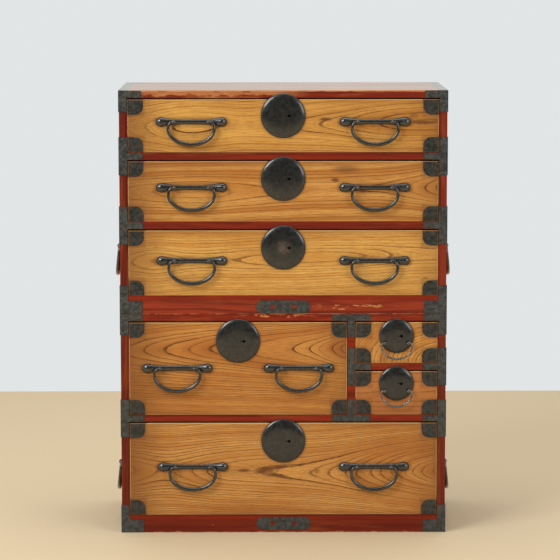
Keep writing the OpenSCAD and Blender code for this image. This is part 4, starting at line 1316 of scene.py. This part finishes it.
@dataclass
class Studio:
    """Camera, lamps and a plain pale floor."""

    focal_mm: float = 170.2
    distance: float = 4.8633
    height: float = 1.0823
    across: float = -0.033
    pitch_down: float = math.radians(7.103)
    yaw_right: float = math.radians(0.317)
    roll: float = math.radians(-0.04)
    plain_level: float = 0.62
    dim_level: float = 0.06
    floor_half: float = 6.0
    floor_end: float = 1.457

    def camera(self) -> None:
        """Puts the camera where the photograph was taken from."""
        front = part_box("lower_irons")[0].y
        data = bpy.data.cameras.new("camera")
        data.lens = self.focal_mm
        data.sensor_width = 36.0
        data.clip_end = 50.0
        camera = add_object("camera", data)
        camera.location = (self.across, front - self.distance, self.height)
        turn = Euler((math.pi / 2 - self.pitch_down, 0, -self.yaw_right), "XYZ").to_matrix()
        tilt = Euler((0, 0, self.roll), "XYZ").to_matrix()
        camera.rotation_euler = (turn @ tilt).to_euler()
        bpy.context.scene.camera = camera

    def lamp(self, name: str, place: tuple[float, float, float], size: float, power: float,
             aim: tuple[float, float, float]) -> None:
        """Adds a square lamp that faces a point.

        Args:
            name: Its name.
            place: Where it hangs.
            size: Side of the square.
            power: Watts.
            aim: The point it faces.
        """
        data = bpy.data.lights.new(name, "AREA")
        data.energy = power
        data.size = size
        lamp = add_object(name, data)
        lamp.location = place
        lamp.rotation_euler = (Vector(aim) - Vector(place)).to_track_quat("-Z", "Y").to_euler()

    def sky(self) -> None:
        """Lights the scene evenly, with a white background for the camera and for reflections.

        Reflections see a bright room at the back, at the sides and overhead, and a dim one
        behind the camera, so that flat iron stays dark and rounded iron has bright edges.
        """
        world = bpy.data.worlds.new("soft_room")
        world.use_nodes = True
        tree = world.node_tree
        tree.nodes.clear()
        path = {label: Value(out) for label, out in add_node(tree, "LightPath").outputs.items()}
        seen = path["Is Camera Ray"].math("MAXIMUM", path["Is Transmission Ray"])
        towards_back = Value(add_node(tree, "TexCoord").outputs["Generated"]).parts()[1]
        room_level = towards_back.between(-0.85, -0.25, self.dim_level, 1.0)
        plain = first_output(tree, "Background", (1.0, 0.99, 0.965, 1.0), self.plain_level)
        room = first_output(tree, "Background", srgb(250, 247, 240), room_level)
        white = first_output(tree, "Background", srgb(226, 229, 230), 1.0)
        lit = first_output(tree, "MixShader", path["Is Glossy Ray"], plain, room)
        add_node(tree, "OutputWorld", first_output(tree, "MixShader", seen, lit, white))
        bpy.context.scene.world = world

    def floor(self) -> None:
        """Adds a plain pale matt floor, which ends a little way behind the chest."""
        half, end = self.floor_half, self.floor_end
        mesh = bpy.data.meshes.new("floor")
        mesh.from_pydata([(-half, -half, 0), (half, -half, 0), (half, end, 0), (-half, end, 0)],
                         [], [(0, 1, 2, 3)])
        material = bpy.data.materials.new("floor")
        material.use_nodes = True
        shader = material.node_tree.nodes["Principled BSDF"]
        shader.inputs["Base Color"].default_value = srgb(204, 184, 150)
        shader.inputs["Roughness"].default_value = 0.8
        mesh.materials.append(material)
        add_object("floor", mesh)

    def build(self) -> None:
        """Builds the whole studio."""
        self.camera()
        self.sky()
        self.floor()
        self.lamp("window", (-2.2, -2.6, 2.6), 1.8, 95.0, (0, -0.15, 0.45))
        self.lamp("fill", (2.4, -2.8, 1.6), 1.6, 32.0, (0, -0.15, 0.4))
        self.lamp("ceiling", (0.0, 0.3, 3.0), 2.2, 35.0, (0, 0, 0.4))
        bpy.context.scene.view_settings.view_transform = "Standard"


# ---------- the chest ----------

PAULOWNIA = (222, 198, 150), (190, 156, 104)
# Gap over a drawer's front, and how far up the rail the painted shade over the gap reaches
DRAWER_GAP = 2.4 * MM
GAP_SHADE_HEIGHT = 1.2 * MM
BOX_SIDE = 12 * MM
# Each drawer's seed of noise is its number times this
SEED_STEP = 1.7

# The run of the grain on each drawer front
RUNS = {
    1: dict(heart_depth=0.060, heart_height=0.002, taper=-0.03, drift=0.02,
            first=Swell(-0.18, 0.08, -0.0070), second=Swell(0.22, 0.10, -0.0040),
            spots=(Spot(0.078, 0.012, 0.017, 0.0048, 0.9), Spot(0.240, 0.019, 0.013, 0.007, 0.5))),
    2: dict(heart_depth=0.058, heart_height=0.002, drift=0.02, ring_width=0.0022,
            pale=(204, 150, 76), warm=(176, 114, 48),
            first=Swell(-0.16, 0.10, -0.0030), second=Swell(0.34, 0.10, -0.0100),
            spots=(Spot(0.096, 0.021, 0.010, 0.0055, 0.85), Spot(0.116, 0.041, 0.034, 0.011, 0.55))),
    3: dict(heart_depth=0.066, heart_height=0.009, drift=0.03, ring_width=0.0020,
            pale=(214, 164, 84), warm=(194, 138, 62), line_share=0.8,
            first=Swell(0.07, 0.14, -0.0034), second=Swell(-0.24, 0.05, -0.0030),
            spots=(Spot(0.120, 0.042, 0.022, 0.004, 0.22), Spot(0.263, -0.028, 0.006, 0.0025, 0.5))),
    4: dict(heart_depth=0.064, heart_height=0.036, taper=-0.05, ring_width=0.0026,
            pale=(196, 136, 66), warm=(170, 104, 44), second=Swell(0.20, 0.05, -0.004)),
    5: dict(heart_depth=0.05, heart_height=-0.035, taper=-0.6, ring_width=0.0044,
            pale=(210, 152, 78), warm=(186, 122, 56), end_share=(0.0, 0.0)),
    6: dict(heart_depth=0.09, heart_height=0.01, line_share=0.5,
            pale=(184, 118, 64), warm=(162, 96, 48), end_share=(0.1, 0.1)),
    7: dict(heart_depth=0.064, heart_height=-0.004, taper=-0.016, ring_width=0.0026, wander=0.006,
            pale=(200, 146, 76), warm=(176, 112, 50),
            first=Swell(-0.21, 0.07, 0.006), second=Swell(0.33, 0.15, -0.036),
            spots=(Spot(-0.074, -0.003, 0.018, 0.0045, 0.85), Spot(0.062, -0.004, 0.009, 0.008, 0.5))),
}

# The loops' sizes by the start of their nodes' names
LOOPS = {
    "handle_": dict(post_gap=32 * MM, eye_half=2.6 * MM, bend_gap=1.4 * MM, swell=6.4 * MM,
                    shoulder=12 * MM, drop=41 * MM, middle_radius=3.9 * MM, end_radius=2.1 * MM,
                    pin_radius=1.92 * MM),
    "ring_pull_": dict(post_gap=22.5 * MM, eye_half=2.1 * MM, bend_gap=0.7 * MM, swell=3.3 * MM,
                       shoulder=6 * MM, drop=29 * MM, middle_radius=1.9 * MM, end_radius=1.5 * MM,
                       pin_radius=1.32 * MM),
    "carry_handle_": dict(post_gap=50 * MM, eye_half=3.4 * MM, bend_gap=2.6 * MM, swell=7 * MM,
                          shoulder=14 * MM, drop=58 * MM, middle_radius=4.0 * MM, end_radius=2.7 * MM,
                          pin_radius=2.32 * MM, bow=6.4 * MM),
}


def front_finish(drawer: Drawer) -> Zelkova:
    """Finish of a drawer front, darkened round its ironwork.

    Args:
        drawer: The drawer.

    Returns:
        The front's finish.
    """
    middle, half = (drawer.low + drawer.high) / 2, (drawer.high - drawer.low) / 2
    disc = (0.0, drawer.disc_centre.z - middle.z, drawer.disc_radius)
    bars = () if drawer.has_ring else tuple((p.x - middle.x, p.z - middle.z) for p in drawer.pivots)
    return Zelkova(f"zelkova_{drawer.number}", (middle.x, drawer.face, middle.z), half.x, half.z,
                   discs=(disc,), bars=bars, seed=SEED_STEP * drawer.number, **RUNS[drawer.number])


def case_finishes() -> dict[str, dict[str, bpy.types.Material]]:
    """Makes the finishes of both sections' boards.

    Returns:
        For each section, the materials by the pieces' names.
    """
    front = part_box("lower_side_left")[0].y
    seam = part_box("upper_side_left")[0].z
    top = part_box("upper_top_board")[1].z
    heads = sorted({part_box(f"drawer_{number}_front")[1].z + DRAWER_GAP for number in RUNS})
    # painted shade: a near-black strip on the rail's lower edge over each drawer's gap
    gap_shades = tuple(Band(z, z + GAP_SHADE_HEIGHT, (26, 10, 8), 0.85) for z in heads)
    upper_plinth = Band(seam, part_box("drawer_3_front")[0].z, (140, 50, 26))
    # darker lower plinth; its top strip under drawer 7 is painted shade from the drawer above
    lower_plinth_and_shade = Band(0.0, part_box("drawer_7_front")[0].z, (104, 32, 12), 0.85)
    lower_sides = Band(0.0, seam, (100, 36, 18), 0.75)
    top_face = Band(top - 0.5 * MM, top + 5 * MM, (122, 90, 72), 0.85)
    polished = {"polished_above": top - 0.5 * MM}
    runners = PlainWood("runner_wood", *PAULOWNIA).material()
    back_wood = PlainWood("back_planks", (164, 132, 94), (120, 88, 58), seed=4.0).material()
    rails = RedLacquer(
        "red_lacquer_rails", front, rubbed_share=0.3, bands=(upper_plinth, lower_plinth_and_shade, *gap_shades),
        arrises=(Arris(seam + 13 * MM, 0.08, 0.19, 4 * MM, 14.0, 0.9, 0.40),
                 Arris(0.0, -0.3, 0.3, 2 * MM, 6.0, 0.5, 0.42))).material()
    side = RedLacquer("red_lacquer_sides", front, upright=True, bands=(lower_sides, top_face),
                      red=(124, 42, 22), seed=2.0, **polished).material()
    # the top board's front top edge: worn bare wood with a painted highlight along its whole length
    top_board = RedLacquer(
        "red_lacquer_top", front, bands=(top_face, *gap_shades), rubbed_share=0.7, rubbed=(176, 104, 52),
        seed=3.0, arrises=(Arris(top, -0.3, 0.3, 2.6 * MM, 2.0, 0.9),
                           Arris(top - 5 * MM, -0.26, 0.02, 5 * MM, 6.0, 0.6)), **polished).material()
    seam_board = RedLacquer(
        "red_lacquer_seam", front, seed=5.0, bands=gap_shades,
        arrises=(Arris(seam, -0.3, 0.3, 1.4 * MM, 6.0, 0.55, 0.42),
                 Arris(seam - 4 * MM, -0.06, 0.03, 3 * MM, 14.0, 0.9, 0.42))).material()
    plain = RedLacquer("red_lacquer_inner", front, rubbed_share=0.15, seed=7.0).material()
    common = {"side_left": side, "side_right": side, "bottom_board": plain, "rails": rails,
              "back_boards": back_wood, "dust_boards": runners}
    return {"lower": {**common, "top_board": seam_board}, "upper": {**common, "top_board": top_board}}


def iron_finishes() -> dict[IronKind, bpy.types.Material]:
    """Makes the irons' finishes.

    Returns:
        The materials by their kinds.
    """
    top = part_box("upper_top_board")[1].z
    strap = {"gloss": (0.34, 0.5)}
    disc = {"dark": (42, 43, 43), "grey": (56, 57, 57), "gloss": (0.26, 0.36), "stain_share": 0.16,
            "relief": 0.15, "coat": 0.7}
    looks = {
        IronKind.STRAP: strap,
        IronKind.TOP_STRAP: {**strap, "polished_above": top - 0.5 * MM},
        IronKind.PLATE: {"dark": (50, 51, 50), "grey": (74, 75, 73), "gloss": (0.34, 0.46)},
        IronKind.DISC: disc,
        IronKind.BRIGHT_DISC: {**disc, "worn_middle": tuple(Drawer(RUBBED_DRAWER).disc_centre)},
        IronKind.ROD: {"dark": (50, 51, 50), "grey": (66, 67, 65), "gloss": (0.2, 0.28),
                       "stain_share": 0.15, "relief": 0.05, "coat": 0.9},
        # lighter than the other irons: a painted highlight on the thin ring pulls and their posts
        IronKind.RING: {"dark": (88, 88, 86), "grey": (122, 122, 118), "gloss": (0.2, 0.3),
                        "relief": 0.05, "coat": 0.5},
    }
    return {kind: BlackIron(kind.value, **look).material() for kind, look in looks.items()}


def build_drawer(number: int, irons: dict[IronKind, bpy.types.Material]) -> None:
    """Dresses a drawer's wood and lock bolt and builds its ironwork.

    Args:
        number: The drawer's number.
        irons: The irons' materials.
    """
    small = {"disc_radius": 32.5 * MM, "keyhole_x": 9 * MM} if number in SMALL_DRAWERS else {}
    drawer = Drawer(number, **small)
    side_from = (drawer.high.x - drawer.low.x) / 2 - BOX_SIDE
    box = PlainWood(f"paulownia_{number}", *PAULOWNIA, drawer.middle, side_from, number)
    paint(f"drawer_{number}_front", front_finish(drawer).material())
    paint(f"drawer_{number}_box", box.material())
    paint(f"lock_bolt_{number}", irons[IronKind.STRAP])
    drawer.build(irons)


def build_chest() -> None:
    """Dresses the boards and builds the ironwork, section by section and drawer by drawer."""
    irons = iron_finishes()
    for word, finishes in case_finishes().items():
        kind = IronKind.TOP_STRAP if word == "upper" else IronKind.STRAP
        Section(word, f"{word}_case").dress(finishes, irons[kind], irons[IronKind.ROD])
    for number in RUNS:
        build_drawer(number, irons)
    for node in frame["nodes"]:
        for start, sizes in LOOPS.items():
            if node.startswith(start):
                kind = IronKind.RING if start == "ring_pull_" else IronKind.ROD
                Loop(node, **sizes).build(irons[kind])


def main() -> None:
    """Builds the studio and the chest."""
    logging.basicConfig(level=logging.INFO, format="%(name)s %(message)s")
    Studio().build()
    build_chest()
    bpy.context.view_layer.update()


if __name__ == "__main__":
    main()
